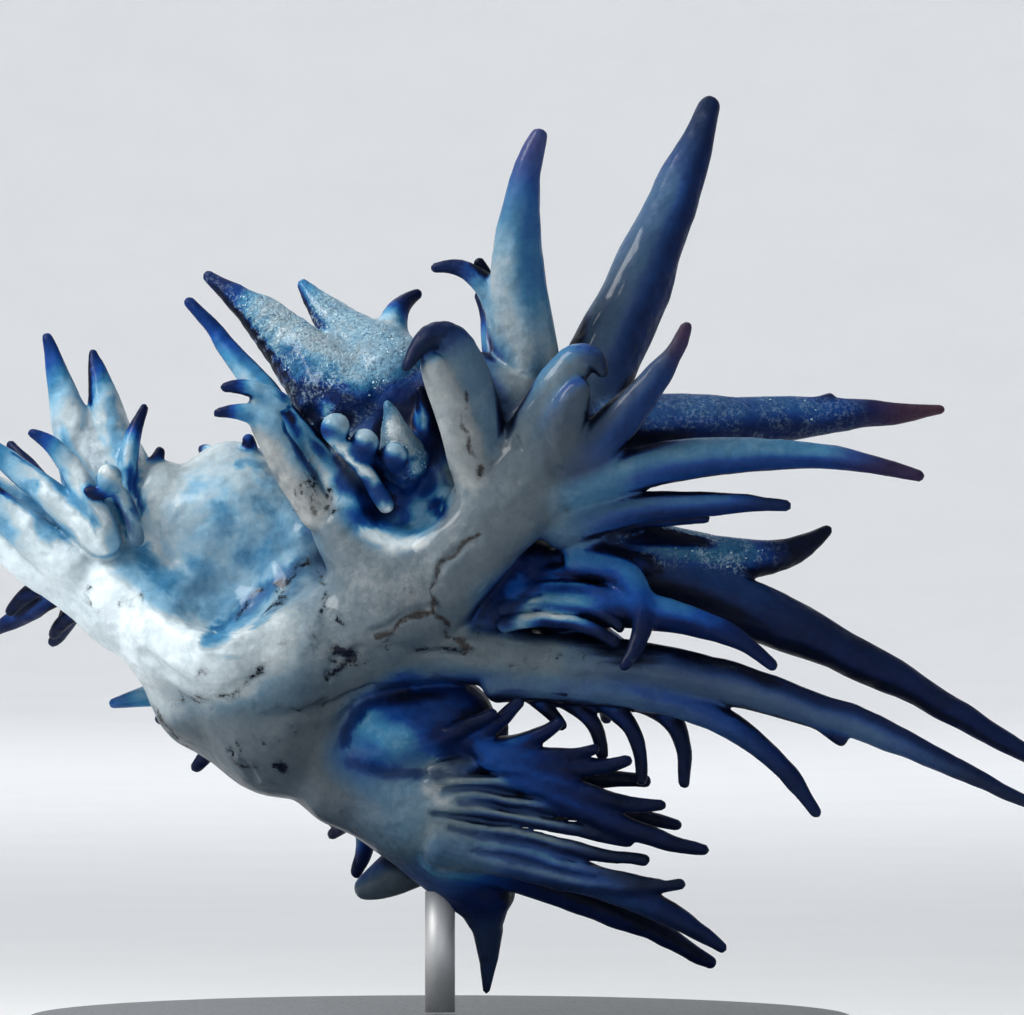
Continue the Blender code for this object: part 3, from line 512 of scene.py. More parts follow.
# On a finger. The ranges named ALONG are shares of its length.
MARK_REACH = 8             # how far off a finger still marks the skin
MOST_WEIGHT = 1.2          # how much its own marks count inside it
BALL_ALONG = 0.5           # the share of a finger's length that a round head counts as
SIDE_FADE = 0.4            # how softly the deep side begins
DEEP_ALONG = (0.05, 0.35)
# Painted shade: the next two make the fingers on the right side deeper in tone, away from the light.
PAINTED_SHADE_X = (-60, 240)      # the right side of the animal, where fingers are deeper in tone
RIGHT_PAINTED_SHADE = 0.09
TIP_OVERRUN = 0.04         # how far beyond tip_at the tip's tone is complete
GREY_ALONG = (0.3, 0.8)
BROWN_ALONG = (0.7, 1.0)
DEEP_CLEARS = 0.7          # how much of the grey the deep side loses
TIP_DULLS = 0.7            # how much of the metal the tip loses

# On the bare body: its palest tone and least grey, and what its places add to them. The tone added
# towards the right, on the right arms, on faces that turn down and low down is painted shade, away
# from the light.
BODY_TONE = 0.14
BACK_PAINTED_SHADE, BACK_X = 0.14, (-260, -90)
ARM_PAINTED_SHADE, ARM_X = 0.06, (-60, 160)
UNDERSIDE_PAINTED_SHADE, UNDERSIDE = 0.18, (0.0, 0.9)
LOW_PAINTED_SHADE, LOW_Z = 0.08, (360, 440)
BODY_GREY = 0.35
BODY_GREYING, GREYING_X = 0.55, (-260, -70)
FAR_SIDE_TONE = 0.62
FAR_SIDE_Y = (20, 70)
TURNED_BACK = (-0.1, 0.7)
PATCH_NOISE = 34.0         # size of the lumps that the edges of patches wander by
PATCH_WANDER = 0.18
PATCH_FADE = (0.55, 1.4)   # shares of the radius
BODY_REACH = 10            # how far off the body still marks the skin

# Where parts crowd each other the skin is deeper in tone, as painted shade in the crevices laid over
# the deeper blue the skin has there, and less so where it is pale or bare.
CROWD_REACHES = (14.0, 30.0, 55.0)
CROWD_RANGE = (0.24, 0.80)
CREVICE_PAINTED_SHADE = 0.74
CROWD_SPARES = 0.40
PALE_SHARE = 0.45
PALE_TONES = (0.12, 0.45)
FRONT_DEPTH = 16           # how far behind the front of the animal a point still counts as on it

# The edges of stains and of painted shade and highlights wander by two noises, each (strength, size),
# and lines by one for each axis.
STAIN_AND_LIGHT_NOISES = ((0.55, 13.0), (0.35, 5.0))
STAIN_AND_LIGHT_FADE = (0.5, 1.5)    # shares of the half-width
# This holds for the painted shade and highlights laid on as stains too.
RAGGED_REACH = 8           # the half-width beyond which a stain's edge is less ragged
LINE_NOISE = 15.0
LINE_NOISE_STARTS = (0.0, 90.0, 170.0)
LINE_WANDER = 7.0
LINE_REACH = 30            # how far from a line its distance is worked out

# Granules lie in patches of the metal that isn't dark.
GRANULE_NOISE = 22.0
GRANULE_PATCHES = (-0.15, 0.45)
GRANULE_TONES = (0.35, 0.75)
SMALLEST_GRANULE = (0.7, 0.7, 0.25)
LARGEST_GRANULE = (1.5, 1.1, 0.4)

# ----------------------------------------
# The skin's finish. A noise is lumps per millimetre, detail, roughness and distortion.

CLOUD_NOISE = (0.9, 4.0, 0.6, 0.4)
CLOUD_SHIFT = 0.28
FINE_NOISE = (5.0, 4.0, 0.65)
FINE_SHIFT = 0.16
STEADY_TONES = (0.35, 0.6)     # the deeper tones, which the two noises change less
STEADY_SHARE = 0.45
GREY_SHARE = 0.96              # how far full grey and full brown replace the clear colour
BROWN_SHARE = 0.75

# Cracks and veins: the noises that make their edges ragged and break them, how much, and the
# distance from the edge over which each comes in. A crack has a soft dark halo.
LINE_RAGGED = (8.0, 4.0, 0.75, 0.6)
LINE_GAPS = (1.7, 2.0)
GAPS_SHARE = 0.7
CRACK_RAGGED = 13.0
CRACK_BAND = (0.2, -2.0)
HALO_BAND = (5.0, -1.0)
HALO_SHARE = 0.4
VEIN_RAGGED = 7.0
VEIN_BAND = (1.4, -2.4)
VEIN_SHARE = 0.9

# Metal: lit specks, which lie in patches, and dark ones between them. Blue-black tips are no metal.
SPECK_NOISE = (9.0, 3.0, 0.7, 0.6)
SPECK_PATCHES = (1.3, 3.0, 0.6, 0.5)
PATCHES_BAND = (0.40, 0.60)
LIT_BAND = (0.47, 0.60)
DARK_BAND = (0.46, 0.34)
LIT_SHARE = 0.55
DARK_SHARE = 0.6
METAL_TONES = (0.98, 0.70)
METALLIC = (0.25, 0.45)        # of plain metal, and how much more where it is lit

# Relief: how high each thing stands or how deep it lies, as shares of RELIEF_DEPTH.
RELIEF_NOISE = (2.2, 4.0, 0.6)
RELIEF_DEPTH = 0.075 * MM
LUMP_HEIGHT = 0.6
FINE_HEIGHT = 0.25
CRACK_HEIGHT = -0.5
VEIN_HEIGHT = -0.3
METAL_HEIGHT = 2.2
SWELL_NOISE = (0.8, 2.0)
SWELL_DEPTH = 0.30 * MM

ROUGHNESS = (0.36, 0.24)       # the least, and what the fine noise adds
COAT = (0.24, -0.20)           # the wet coat of pale skin, and what deep tones add
DEEP_TONES = (0.50, 0.80)
COAT_ROUGHNESS = 0.12
SPECULAR = 0.08

# ----------------------------------------
# The stand and the studio, in metres.

RIM_STEPS = 6
BASE_EDGE = 0.3 * MM
PAINT_DEPTH = 0.02 * MM
FLOOR_FLAT = 0.55
FLOOR_SWEEP = 0.35
FLOOR_STEPS = 12
WALL_HEIGHT = 0.7

Light = namedtuple("Light", "name place size power colour target", defaults=((0.0, 0.0, 0.017),))
LIGHTS = [
    Light("key", (-0.070, -0.020, 0.084), 0.045, 0.115, (1.0, 0.98, 0.95)),
    Light("fill", (0.10, -0.50, 0.20), 0.30, 0.25, (0.86, 0.93, 1.0)),
    Light("rim", (-0.10, 0.34, 0.30), 0.20, 0.3, (0.9, 0.95, 1.0)),
    Light("ceiling", (0.0, 0.0, 0.95), 1.5, 2.6, (0.95, 0.97, 1.0)),
    Light("backdrop", (0.0, 0.35, 0.45), 0.5, 1.4, (0.97, 0.98, 1.0), (0.0, 0.90, 0.10)),
]


def speck_lines():
    """The specks of all the clusters, as very short lines in seeded places."""
    chance = np.random.default_rng(SPECK_SEED)
    lines = []
    for speckle in SPECKLES:
        for _ in range(speckle.count):
            x, z = np.array(speckle.middle) + np.array(speckle.reach) * chance.uniform(-1, 1, 2)
            dx, dz = chance.uniform(-SPECK_LENGTH, SPECK_LENGTH, 2)
            lines.append(Line([(x, z), (x + dx, z + dz)], chance.uniform(*SPECK_WIDTHS)))
    return lines


# ----------------------------------------
# Fingers as chains.

def finger_point(finger, share):
    """A point on the quadratic curve from root to tip; share runs from 0 to 1."""
    root = np.array(finger.root, float)
    tip = np.array(finger.tip, float)
    bend = np.array((finger.bend[0], (root[1] + tip[1]) / 2, finger.bend[1]))
    return root * (1 - share) ** 2 + bend * (2 * share * (1 - share)) + tip * share**2


def finger_chain(finger):
    """The finger as a chain that tapers to a small round tip."""
    chain = []
    for ring in range(FINGER_RINGS):
        share = ring / (FINGER_RINGS - 1)
        radius = finger.end + (finger.width / 2 - finger.end) * (1 - share**finger.taper)
        chain.append((*finger_point(finger, share), radius))
    return chain


def fuller_middle(middle):
    """The share of the full size, where middle runs from 0 at the ends to 1 in the middle."""
    return END_SHARE + MIDDLE_GAIN * middle


def spray_fingers(spray):
    """The fingers of a spray, row by row, longest in the middle of each row."""
    outward = Vector(spray.outward).normalized()
    across = Vector(spray.across)
    across = (across - across.project(outward)).normalized()
    normal = outward.cross(across)
    fingers = []
    for row in spray.rows:
        row_axis = Matrix.Rotation(radians(row.lean), 3, across) @ outward
        for index in range(row.count):
            turn = radians(row.half_spread * (2 * index / (row.count - 1) - 1))
            along = Matrix.Rotation(turn, 3, normal) @ row_axis
            length = spray.length * row.share * fuller_middle(cos(turn))
            root = Vector(spray.centre) + along * SPRAY_ROOT
            tip = root + along * length
            middle = (root + tip) / 2 + normal * (spray.curl * length)
            fingers.append(
                Finger(tuple(root), (middle.x, middle.z), tuple(tip), spray.width, "plain"))
    return fingers


def grooves_between(fingers):
    """The lines that run between each finger of a row and the next, from their roots outward."""
    paths = []
    for number, (upper, lower) in enumerate(zip(fingers[:-1], fingers[1:])):
        shares = (GROOVE_START + GROOVE_STAGGER * (number % 3), *GROOVE_SHARES)
        middles = [(finger_point(upper, share) + finger_point(lower, share)) / 2 for share in shares]
        paths.append([(middle[0], middle[2]) for middle in middles])
    return paths


def all_fingers():
    fingers = FINGERS_FRONT_RIGHT + FINGERS_MIDDLE_RIGHT + FINGERS_REAR_RIGHT + FINGERS_FRONT_LEFT
    fingers = fingers + FINGERS_LEFT_PEEKING + FINGERS_REAR_PEEKING + FEELERS
    for spray in SPRAYS:
        fingers = fingers + spray_fingers(spray)
    return fingers


# ----------------------------------------
# Distances and soft noise.

def smoothstep(low, high, value):
    share = np.clip((value - low) / (high - low), 0.0, 1.0)
    return share * share * (3 - 2 * share)


def outer_fade(shares, size, distance):
    """1 within the first share of the size, 0 beyond the second."""
    return 1 - smoothstep(shares[0] * size, shares[1] * size, distance)


def mixed(first, second, share):
    return first + (second - first) * share


def smooth_min(first, second, blend):
    """The smaller of two distances, with the valley between them filled over the blend width."""
    share = np.maximum(blend - np.abs(first - second), 0.0) / blend
    return np.minimum(first, second) - share * share * (blend / 4)


def segment_distance(x, y, z, start, end):
    """Distance from points to a round segment whose radius runs from one end's to the other's, and
    the share of the segment's length at which each point lies."""
    ax, ay, az, radius_a = start
    bx, by, bz, radius_b = end
    dx, dy, dz = bx - ax, by - ay, bz - az
    squared = dx * dx + dy * dy + dz * dz
    share = ((x - ax) * dx + (y - ay) * dy + (z - az) * dz) / squared
    share = np.clip(share, 0.0, 1.0)
    distance = np.sqrt(
        (x - ax - share * dx) ** 2 + (y - ay - share * dy) ** 2 + (z - az - share * dz) ** 2)
    return distance - (radius_a + share * (radius_b - radius_a)), share


def path_distance(points, path):
    """Distance of the x and z of points from a path."""
    best = np.full(len(points), FAR)
    for (ax, az), (bx, bz) in zip(path[:-1], path[1:]):
        dx, dz = bx - ax, bz - az
        share = ((points[:, 0] - ax) * dx + (points[:, 2] - az) * dz) / (dx * dx + dz * dz)
        share = np.clip(share, 0.0, 1.0)
        off = np.hypot(points[:, 0] - ax - share * dx, points[:, 2] - az - share * dz)
        best = np.minimum(best, off)
    return best


def with_length(chain):
    """The chain, or for a single ball two points one step apart."""
    if len(chain) > 1:
        return chain
    x, y, z, radius = chain[0]
    return [(x, y, z, radius), (x, y, z + 1, radius)]


def chain_box(chain, reach):
    """The two corners of the box round a chain, widened by reach."""
    points = np.array(chain, float)
    spread = points[:, 3:] + reach
    return (points[:, :3] - spread).min(0), (points[:, :3] + spread).max(0)


def blended_corners(values, base, part):
    """The values at the eight lattice points round each place, blended by where it lies in its cell.
    base is the place's lowest lattice point and part runs from 0 to 1 along each side."""
    total = np.zeros(len(base), values.dtype)
    for corner in range(8):
        offset = np.array([corner & 1, corner >> 1 & 1, corner >> 2 & 1])
        weight = np.prod(np.where(offset == 1, part, 1 - part), axis=1)
        i, j, k = ((base + offset) % values.shape).T
        total += weight * values[i, j, k]
    return total


class Lattice:
    """Soft noise: random values on a wrapped lattice, blended smoothly between its points."""

    SIZE = 32

    def __init__(self, seed):
        self.values = np.random.default_rng(seed).uniform(-1, 1, (self.SIZE,) * 3)

    def at(self, points, scale):
        places = points / scale
        base = np.floor(places).astype(int)
        part = places - base
        return blended_corners(self.values, base, part * part * (3 - 2 * part))


def organic_warp(points):
    """Small shifts that keep the fingers and folds from being too regular."""
    shift = np.zeros_like(points)
    for axis in range(3):
        shift[:, axis] = sum(
            most * Lattice(seed + axis).at(points, size) for seed, size, most in WARPS)
    return shift


# ----------------------------------------
# The distance field.

class Field:
    """Distance to the animal's surface on a regular lattice, negative inside."""

    def __init__(self, cell):
        self.cell = cell
        self.low = np.array(FIELD_LOW, np.float32)
        self.axes = [
            np.arange(low, high, cell, dtype=np.float32) for low, high in zip(FIELD_LOW, FIELD_HIGH)]
        self.values = np.full([len(axis) for axis in self.axes], FAR, np.float32)

    def slices(self, chain, reach):
        """The part of the lattice within reach of a chain."""
        low, high = chain_box(chain, reach)
        found = []
        for axis in range(3):
            first = int((low[axis] - FIELD_LOW[axis]) / self.cell)
            last = int((high[axis] - FIELD_LOW[axis]) / self.cell) + 2
            found.append(slice(max(0, first), max(0, min(last, len(self.axes[axis])))))
        return tuple(found)

    def chain_distance(self, chain, reach):
        """The lattice region round a chain, and the distance to the chain there."""
        chain = with_length(chain)
        region = self.slices(chain, reach)
        distance = np.full([s.stop - s.start for s in region], FAR, np.float32)
        for start, end in zip(chain[:-1], chain[1:]):
            inner = self.slices([start, end], reach)
            x = self.axes[0][inner[0]][:, None, None]
            y = self.axes[1][inner[1]][None, :, None]
            z = self.axes[2][inner[2]][None, None, :]
            near, _ = segment_distance(x, y, z, start, end)
            local = tuple(slice(i.start - r.start, i.stop - r.start) for i, r in zip(inner, region))
            np.minimum(distance[local], near, out=distance[local])
        return region, distance

    def add(self, chain, blend):
        region, distance = self.chain_distance(chain, blend + 2 * self.cell)
        self.values[region] = smooth_min(self.values[region], distance, blend)

    def scoop(self, chain, blend):
        region, distance = self.chain_distance(chain, blend + 2 * self.cell)
        self.values[region] = -smooth_min(-self.values[region], distance, blend)

    def front(self, x, z):
        """How far back the surface lies at x and z, seen from the front, or None beside it."""
        column = self.values[
            int((x - FIELD_LOW[0]) / self.cell), :, int((z - FIELD_LOW[2]) / self.cell)]
        inside = np.flatnonzero(column < 0)
        return float(self.axes[1][inside[0]]) if len(inside) else None

    def in_front(self, points):
        """1 for the points on the surface that faces the front, 0 for those behind another."""
        inside = self.values < 0
        depth = np.where(inside.any(axis=1), self.axes[1][inside.argmax(axis=1)], FIELD_HIGH[1])
        place = ((points - self.low) / self.cell).astype(int)
        return (points[:, 1] < depth[place[:, 0], place[:, 2]] + FRONT_DEPTH).astype(float)

    def crease(self, crease):
        """Presses a groove into the front of the surface, along what lies on it of the crease's path.
        The groove is narrower towards its ends."""
        lift = crease.width - crease.depth
        places = [(x, self.front(x, z), z) for x, z in crease.path]
        places = [place for place in places if place[1] is not None]
        chain = []
        for number, (x, y, z) in enumerate(places):
            middle = 1 - abs(2 * number / max(1, len(places) - 1) - 1)
            width = crease.width * fuller_middle(middle)
            chain.append((x, y - lift - 0.5 * (crease.width - width), z, width))
        self.scoop(chain, crease.round)

    def sample(self, points):
        """Trilinear values of the field at points given in grid steps."""
        places = (points - self.low) / self.cell
        top = np.array(self.values.shape) - 2
        base = np.clip(np.floor(places).astype(np.int32), 0, top)
        return blended_corners(self.values, base, np.clip(places - base, 0.0, 1.0))


def body_field(cell):
    """The field of the body and the palms, hollowed and creased, without the fingers."""
    field = Field(cell)
    for chain, blend in BODY_LUMPS:
        field.add(chain, blend)
    for chain, blend in HOLLOWS:
        field.scoop(chain, blend)
    for crease in CREASES:
        field.crease(crease)
    return field


def with_fingers(body):
    """The field of the whole animal."""
    field = Field(body.cell)
    field.values[:] = body.values
    for finger in all_fingers():
        field.add(finger_chain(finger), min(FINGER_BLEND, FINGER_BLEND_SHARE * finger.width))
    for chain, _ in FINGER_BALLS:
        field.add(chain, BALL_BLEND)
    grooves = [Crease(path, *BAR_GROOVE) for path in grooves_between(REAR_BARS)]
    for pit in ROOT_PITS + grooves:
        field.crease(pit)
    return field


# ----------------------------------------
# Meshes.

def cell_points(field, mixed_cells):
    """A point in each of these lattice cells: the mean of where the surface crosses its edges."""
    values = field.values
    total = np.zeros((len(mixed_cells), 3))
    crossings = np.zeros(len(mixed_cells))
    for start in CELL_CORNERS:
        for axis in range(3):
            if start[axis]:
                continue
            first = mixed_cells + np.array(start)
            second = first.copy()
            second[:, axis] += 1
            a = values[first[:, 0], first[:, 1], first[:, 2]]
            b = values[second[:, 0], second[:, 1], second[:, 2]]
            crossed = (a < 0) != (b < 0)
            share = np.where(crossed, a / np.where(crossed, a - b, 1.0), 0.0)
            place = first.astype(float)
            place[:, axis] += share
            total += place * crossed[:, None]
            crossings += crossed
    return total / crossings[:, None] * field.cell + field.low


def edge_quads(inside, index, axis):
    """A quad round each lattice edge along this axis that the surface crosses, facing out. index
    gives the number of each cell's point."""
    shape = index.shape
    step = [slice(None)] * 3
    ahead = list(step)
    step[axis] = slice(None, -1)
    ahead[axis] = slice(1, None)
    here = inside[tuple(step)]
    places = np.argwhere(here != inside[tuple(ahead)])
    u, v = (axis + 1) % 3, (axis + 2) % 3
    places = places[(places[:, u] > 0) & (places[:, v] > 0)]
    places = places[(places[:, u] < shape[u]) & (places[:, v] < shape[v])]
    ring = []
    for du, dv in ((1, 1), (0, 1), (0, 0), (1, 0)):
        cell = places.copy()
        cell[:, u] -= du
        cell[:, v] -= dv
        ring.append(index[cell[:, 0], cell[:, 1], cell[:, 2]])
    ring = np.stack(ring, axis=1)
    leaving = here[places[:, 0], places[:, 1], places[:, 2]]
    return np.where(leaving[:, None], ring, ring[:, ::-1])


def net_surface(field):
    """Surface nets: a vertex in each lattice cell that the surface crosses, and a quad round each
    lattice edge that it crosses. Points come back in grid steps."""
    inside = field.values < 0
    shape = np.array(inside.shape) - 1
    count = np.zeros(shape, np.int8)
    for i, j, k in CELL_CORNERS:
        count += inside[i:i + shape[0], j:j + shape[1], k:k + shape[2]]
    mixed_cells = np.argwhere((count > 0) & (count < len(CELL_CORNERS))).astype(np.int32)
    index = np.full(shape, -1, np.int32)
    index[mixed_cells[:, 0], mixed_cells[:, 1], mixed_cells[:, 2]] = np.arange(len(mixed_cells))
    quads = [edge_quads(inside, index, axis) for axis in range(3)]
    return cell_points(field, mixed_cells), np.concatenate(quads)


def mesh_from(name, points, faces):
    """A mesh of equal-sided faces from arrays, in metres."""
    mesh = bpy.data.meshes.new(name)
    mesh.vertices.add(len(points))
    mesh.vertices.foreach_set("co", (points * GRID).astype(np.float32).ravel())
    mesh.loops.add(faces.size)
    mesh.loops.foreach_set("vertex_index", faces.astype(np.int32).ravel())
    mesh.polygons.add(len(faces))
    starts = np.arange(0, faces.size, faces.shape[1], dtype=np.int32)
    mesh.polygons.foreach_set("loop_start", starts)
    mesh.update(calc_edges=True)
    return mesh


def evaluated_mesh(obj):
    """A plain mesh of the object as its modifiers leave it."""
    bpy.context.view_layer.update()
    graph = bpy.context.evaluated_depsgraph_get()
    return bpy.data.meshes.new_from_object(obj.evaluated_get(graph))


def turned(name, profile, centre, steps=96):
    """A mesh turned on a lathe: a profile of (radius, z) turned about the upright line at centre. Its
    faces look to the left of the way in which the profile runs."""
    points = []
    rings = []
    for radius, z in profile:
        turns = [2 * pi * step / steps for step in range(steps if radius else 1)]
        rings.append(range(len(points), len(points) + len(turns)))
        points += [
            (centre[0] + radius * cos(turn), centre[1] + radius * sin(turn), centre[2] + z)
            for turn in turns]
    faces = []
    for first, second in zip(rings[:-1], rings[1:]):
        for step in range(steps):
            here = [ring[step % len(ring)] for ring in (first, second)]
            ahead = [ring[(step + 1) % len(ring)] for ring in (second, first)]
            faces.append(list(dict.fromkeys(here + ahead)))
    mesh = bpy.data.meshes.new(name)
    mesh.from_pydata(points, [], faces)
    mesh.shade_smooth()
    return mesh


def rounded_rim(radius, height, bend):
    """The upper rim of a turned profile, from its flat top to its side, rounded by bend."""
    turns = [pi / 2 * (1 - step / RIM_STEPS) for step in range(RIM_STEPS + 1)]
    return [(radius - bend + bend * cos(turn), height - bend + bend * sin(turn)) for turn in turns]


def link(name, data):
    obj = bpy.data.objects.new(name, data)
    bpy.context.scene.collection.objects.link(obj)
    return obj


def vertex_array(mesh, attribute):
    found = np.empty(len(mesh.vertices) * 3, np.float32)
    mesh.vertices.foreach_get(attribute, found)
    return found.reshape(-1, 3)


# ----------------------------------------
# Markings on the skin's points.

def finger_marks(points, chain, marking):
    """For the points near a finger: their index, weight and (tone, grey, brown, metal)."""
    ball = len(chain) == 1
    chain = with_length(chain)
    low, high = chain_box(chain, MARK_REACH + 1)
    near = np.flatnonzero(((points > low) & (points < high)).all(axis=1))
    local = points[near]
    x, y, z = local.T
    best = np.full(len(near), FAR)
    along = np.zeros(len(near))
    side = np.zeros(len(near))
    deep_way = np.array([cos(radians(marking.side)), 0.0, sin(radians(marking.side))])
    pairs = list(zip(chain[:-1], chain[1:]))
    for number, (start, end) in enumerate(pairs):
        distance, share = segment_distance(x, y, z, start, end)
        axis_point = np.array(start[:3]) + share[:, None] * (np.array(end[:3]) - np.array(start[:3]))
        outward = local - axis_point
        outward /= np.linalg.norm(outward, axis=1)[:, None] + 1e-6
        better = distance < best
        best = np.where(better, distance, best)
        along = np.where(better, (number + share) / len(pairs), along)
        side = np.where(better, outward @ deep_way, side)
    if ball:
        along[:] = BALL_ALONG
    weight = np.clip(1 - best / MARK_REACH, 0, MOST_WEIGHT) ** 2
    # Painted shade: a finger's side that faces down or right, away from the light, is deeper in tone,
    # laid over its own blue; a side that faces up or left keeps only its own blue.
    deep = smoothstep(marking.band - SIDE_FADE, marking.band + SIDE_FADE, side)
    if not marking.metal:
        deep = deep * smoothstep(*DEEP_ALONG, along)
    # Painted shade: fingers on the right side of the animal, away from the light, are deeper in tone.
    light = marking.light + RIGHT_PAINTED_SHADE * smoothstep(*PAINTED_SHADE_X, x)
    tip = smoothstep(marking.tip_at - marking.fade, marking.tip_at + TIP_OVERRUN, along)
    tone = mixed(mixed(light, marking.deep, deep), marking.tip_tone, tip)
    clearing = (1 - (1 - marking.grey) * smoothstep(*GREY_ALONG, along)) * (1 - DEEP_CLEARS * deep)
    brown = marking.brown * smoothstep(*BROWN_ALONG, along)
    metal = marking.metal * (1 - TIP_DULLS * tip)
    return near, weight, np.stack([tone, marking.grey * clearing, brown, metal], axis=1)


def body_marks(points, normals, noise):
    """Tone, grey, brown and metal of the bare body. It has no brown and no metal of its own."""
    x, y, z = points.T
    low = 1 - smoothstep(*LOW_Z, z)
    # Painted shade: the body is deeper in tone towards the right, on the right arms, on faces that
    # turn down and low down, away from the light.
    tone = BODY_TONE + BACK_PAINTED_SHADE * smoothstep(*BACK_X, x) + ARM_PAINTED_SHADE * smoothstep(*ARM_X, x)
    tone = tone + UNDERSIDE_PAINTED_SHADE * smoothstep(*UNDERSIDE, -normals[:, 2]) + LOW_PAINTED_SHADE * low
    grey = BODY_GREY + BODY_GREYING * np.maximum(smoothstep(*GREYING_X, x), low)
    behind = smoothstep(*TURNED_BACK, normals[:, 1]) * smoothstep(*FAR_SIDE_Y, y)
    tone = mixed(tone, FAR_SIDE_TONE, behind)
    grey = grey * (1 - behind)
    wander = noise.at(points, PATCH_NOISE)
    for patch in PATCHES:
        distance = np.linalg.norm(points - np.array(patch.place), axis=1)
        distance = distance * (1 + PATCH_WANDER * wander)
        share = patch.strength * outer_fade(PATCH_FADE, patch.radius, distance)
        tone = mixed(tone, patch.tone, share)
        grey = mixed(grey, patch.grey, share)
    nothing = np.zeros(len(points))
    return np.stack([tone, grey, nothing, nothing], axis=1)


def line_distance(points, lines, noise):
    """Distance from the edge of the nearest of the lines, negative inside it. The lines wander."""
    best = np.full(len(points), FAR)
    points = points + LINE_WANDER * np.stack(
        [noise.at(points + start, LINE_NOISE) for start in LINE_NOISE_STARTS], axis=1)
    flat = points[:, (0, 2)]
    for line in lines:
        xs, zs = zip(*line.path)
        low = np.array((min(xs), min(zs))) - LINE_REACH
        high = np.array((max(xs), max(zs))) + LINE_REACH
        near = np.flatnonzero(((flat > low) & (flat < high)).all(axis=1))
        best[near] = np.minimum(best[near], path_distance(points[near], line.path) - line.width)
    return best


def crowding(points, normals, field):
    """How closely other parts crowd in front of each point, from 0 to 1."""
    hidden = np.zeros(len(points))
    for reach in CROWD_REACHES:
        seen = field.sample(points + normals * reach) / reach
        hidden += np.clip(1 - seen, 0, 1) / len(CROWD_REACHES)
    return hidden


def skin_marks(points, normals, field, body, noise):
    """All the marks of the skin's points, as columns tone, grey, brown and metal. field is the whole
    animal's and body the one without fingers."""
    body_weight = np.clip(1 - np.maximum(body.sample(points), 0) / BODY_REACH, 0, 1) ** 2 + 1e-3
    total = body_marks(points, normals, noise) * body_weight[:, None]
    weights = body_weight.copy()
    chains = [(finger_chain(finger), finger.marking) for finger in all_fingers()]
    for chain, name in chains + FINGER_BALLS:
        near, weight, marks = finger_marks(points, chain, MARKINGS[name])
        total[near] += marks * weight[:, None]
        weights[near] += weight
    marks = total / weights[:, None]
    bare = body_weight / weights
    crowd = smoothstep(*CROWD_RANGE, crowding(points, normals, field))
    pale = mixed(PALE_SHARE, 1.0, smoothstep(*PALE_TONES, marks[:, 0]))
    # Painted shade in the crevices where other parts crowd in front, laid over the deeper blue the
    # skin has there; less of it on pale and bare skin.
    marks[:, 0] += crowd * (CREVICE_PAINTED_SHADE - CROWD_SPARES * bare) * pale
    front = field.in_front(points)
    ragged = sum(strength * noise.at(points, size) for strength, size in STAIN_AND_LIGHT_NOISES)
    # Painted shade in the grooves between the rear bars.
    grooves = [StainOrPaintedLight(path, *BAR_GROOVE_PAINTED_SHADE) for path in grooves_between(REAR_BARS)]
    # The stains of the front, with painted shade and painted highlights among them.
    for stain_or_light in STAINS_AND_PAINTED_LIGHT + grooves:
        distance = path_distance(points, stain_or_light.path)
        distance = distance * (1 + ragged * min(1.0, RAGGED_REACH / stain_or_light.reach))
        share = outer_fade(STAIN_AND_LIGHT_FADE, stain_or_light.reach, distance) * stain_or_light.strength
        marks[:, 0] = mixed(marks[:, 0], stain_or_light.tone, share * front)
    marks[:, 0] = np.clip(marks[:, 0], 0, 1)
    return marks


def mark_columns(points, normals, field, body):
    """Every attribute of the skin's points that its looks are made from, by name."""
    noise = Lattice(SKIN_NOISE_SEED)
    marks = skin_marks(points, normals, field, body, noise)
    columns = dict(zip(("tone", "grey", "brown", "metal"), marks.T))
    behind = FAR * (1 - field.in_front(points))
    columns["crack"] = line_distance(points, CRACKS + speck_lines(), noise) + behind
    columns["vein"] = line_distance(points, VEINS, noise) + behind
    patches = smoothstep(*GRANULE_PATCHES, noise.at(points, GRANULE_NOISE))
    dark = smoothstep(*GRANULE_TONES, columns["tone"])
    columns["granules"] = columns["metal"] * (1 - dark) * patches
    return columns


# ----------------------------------------
# Node trees.

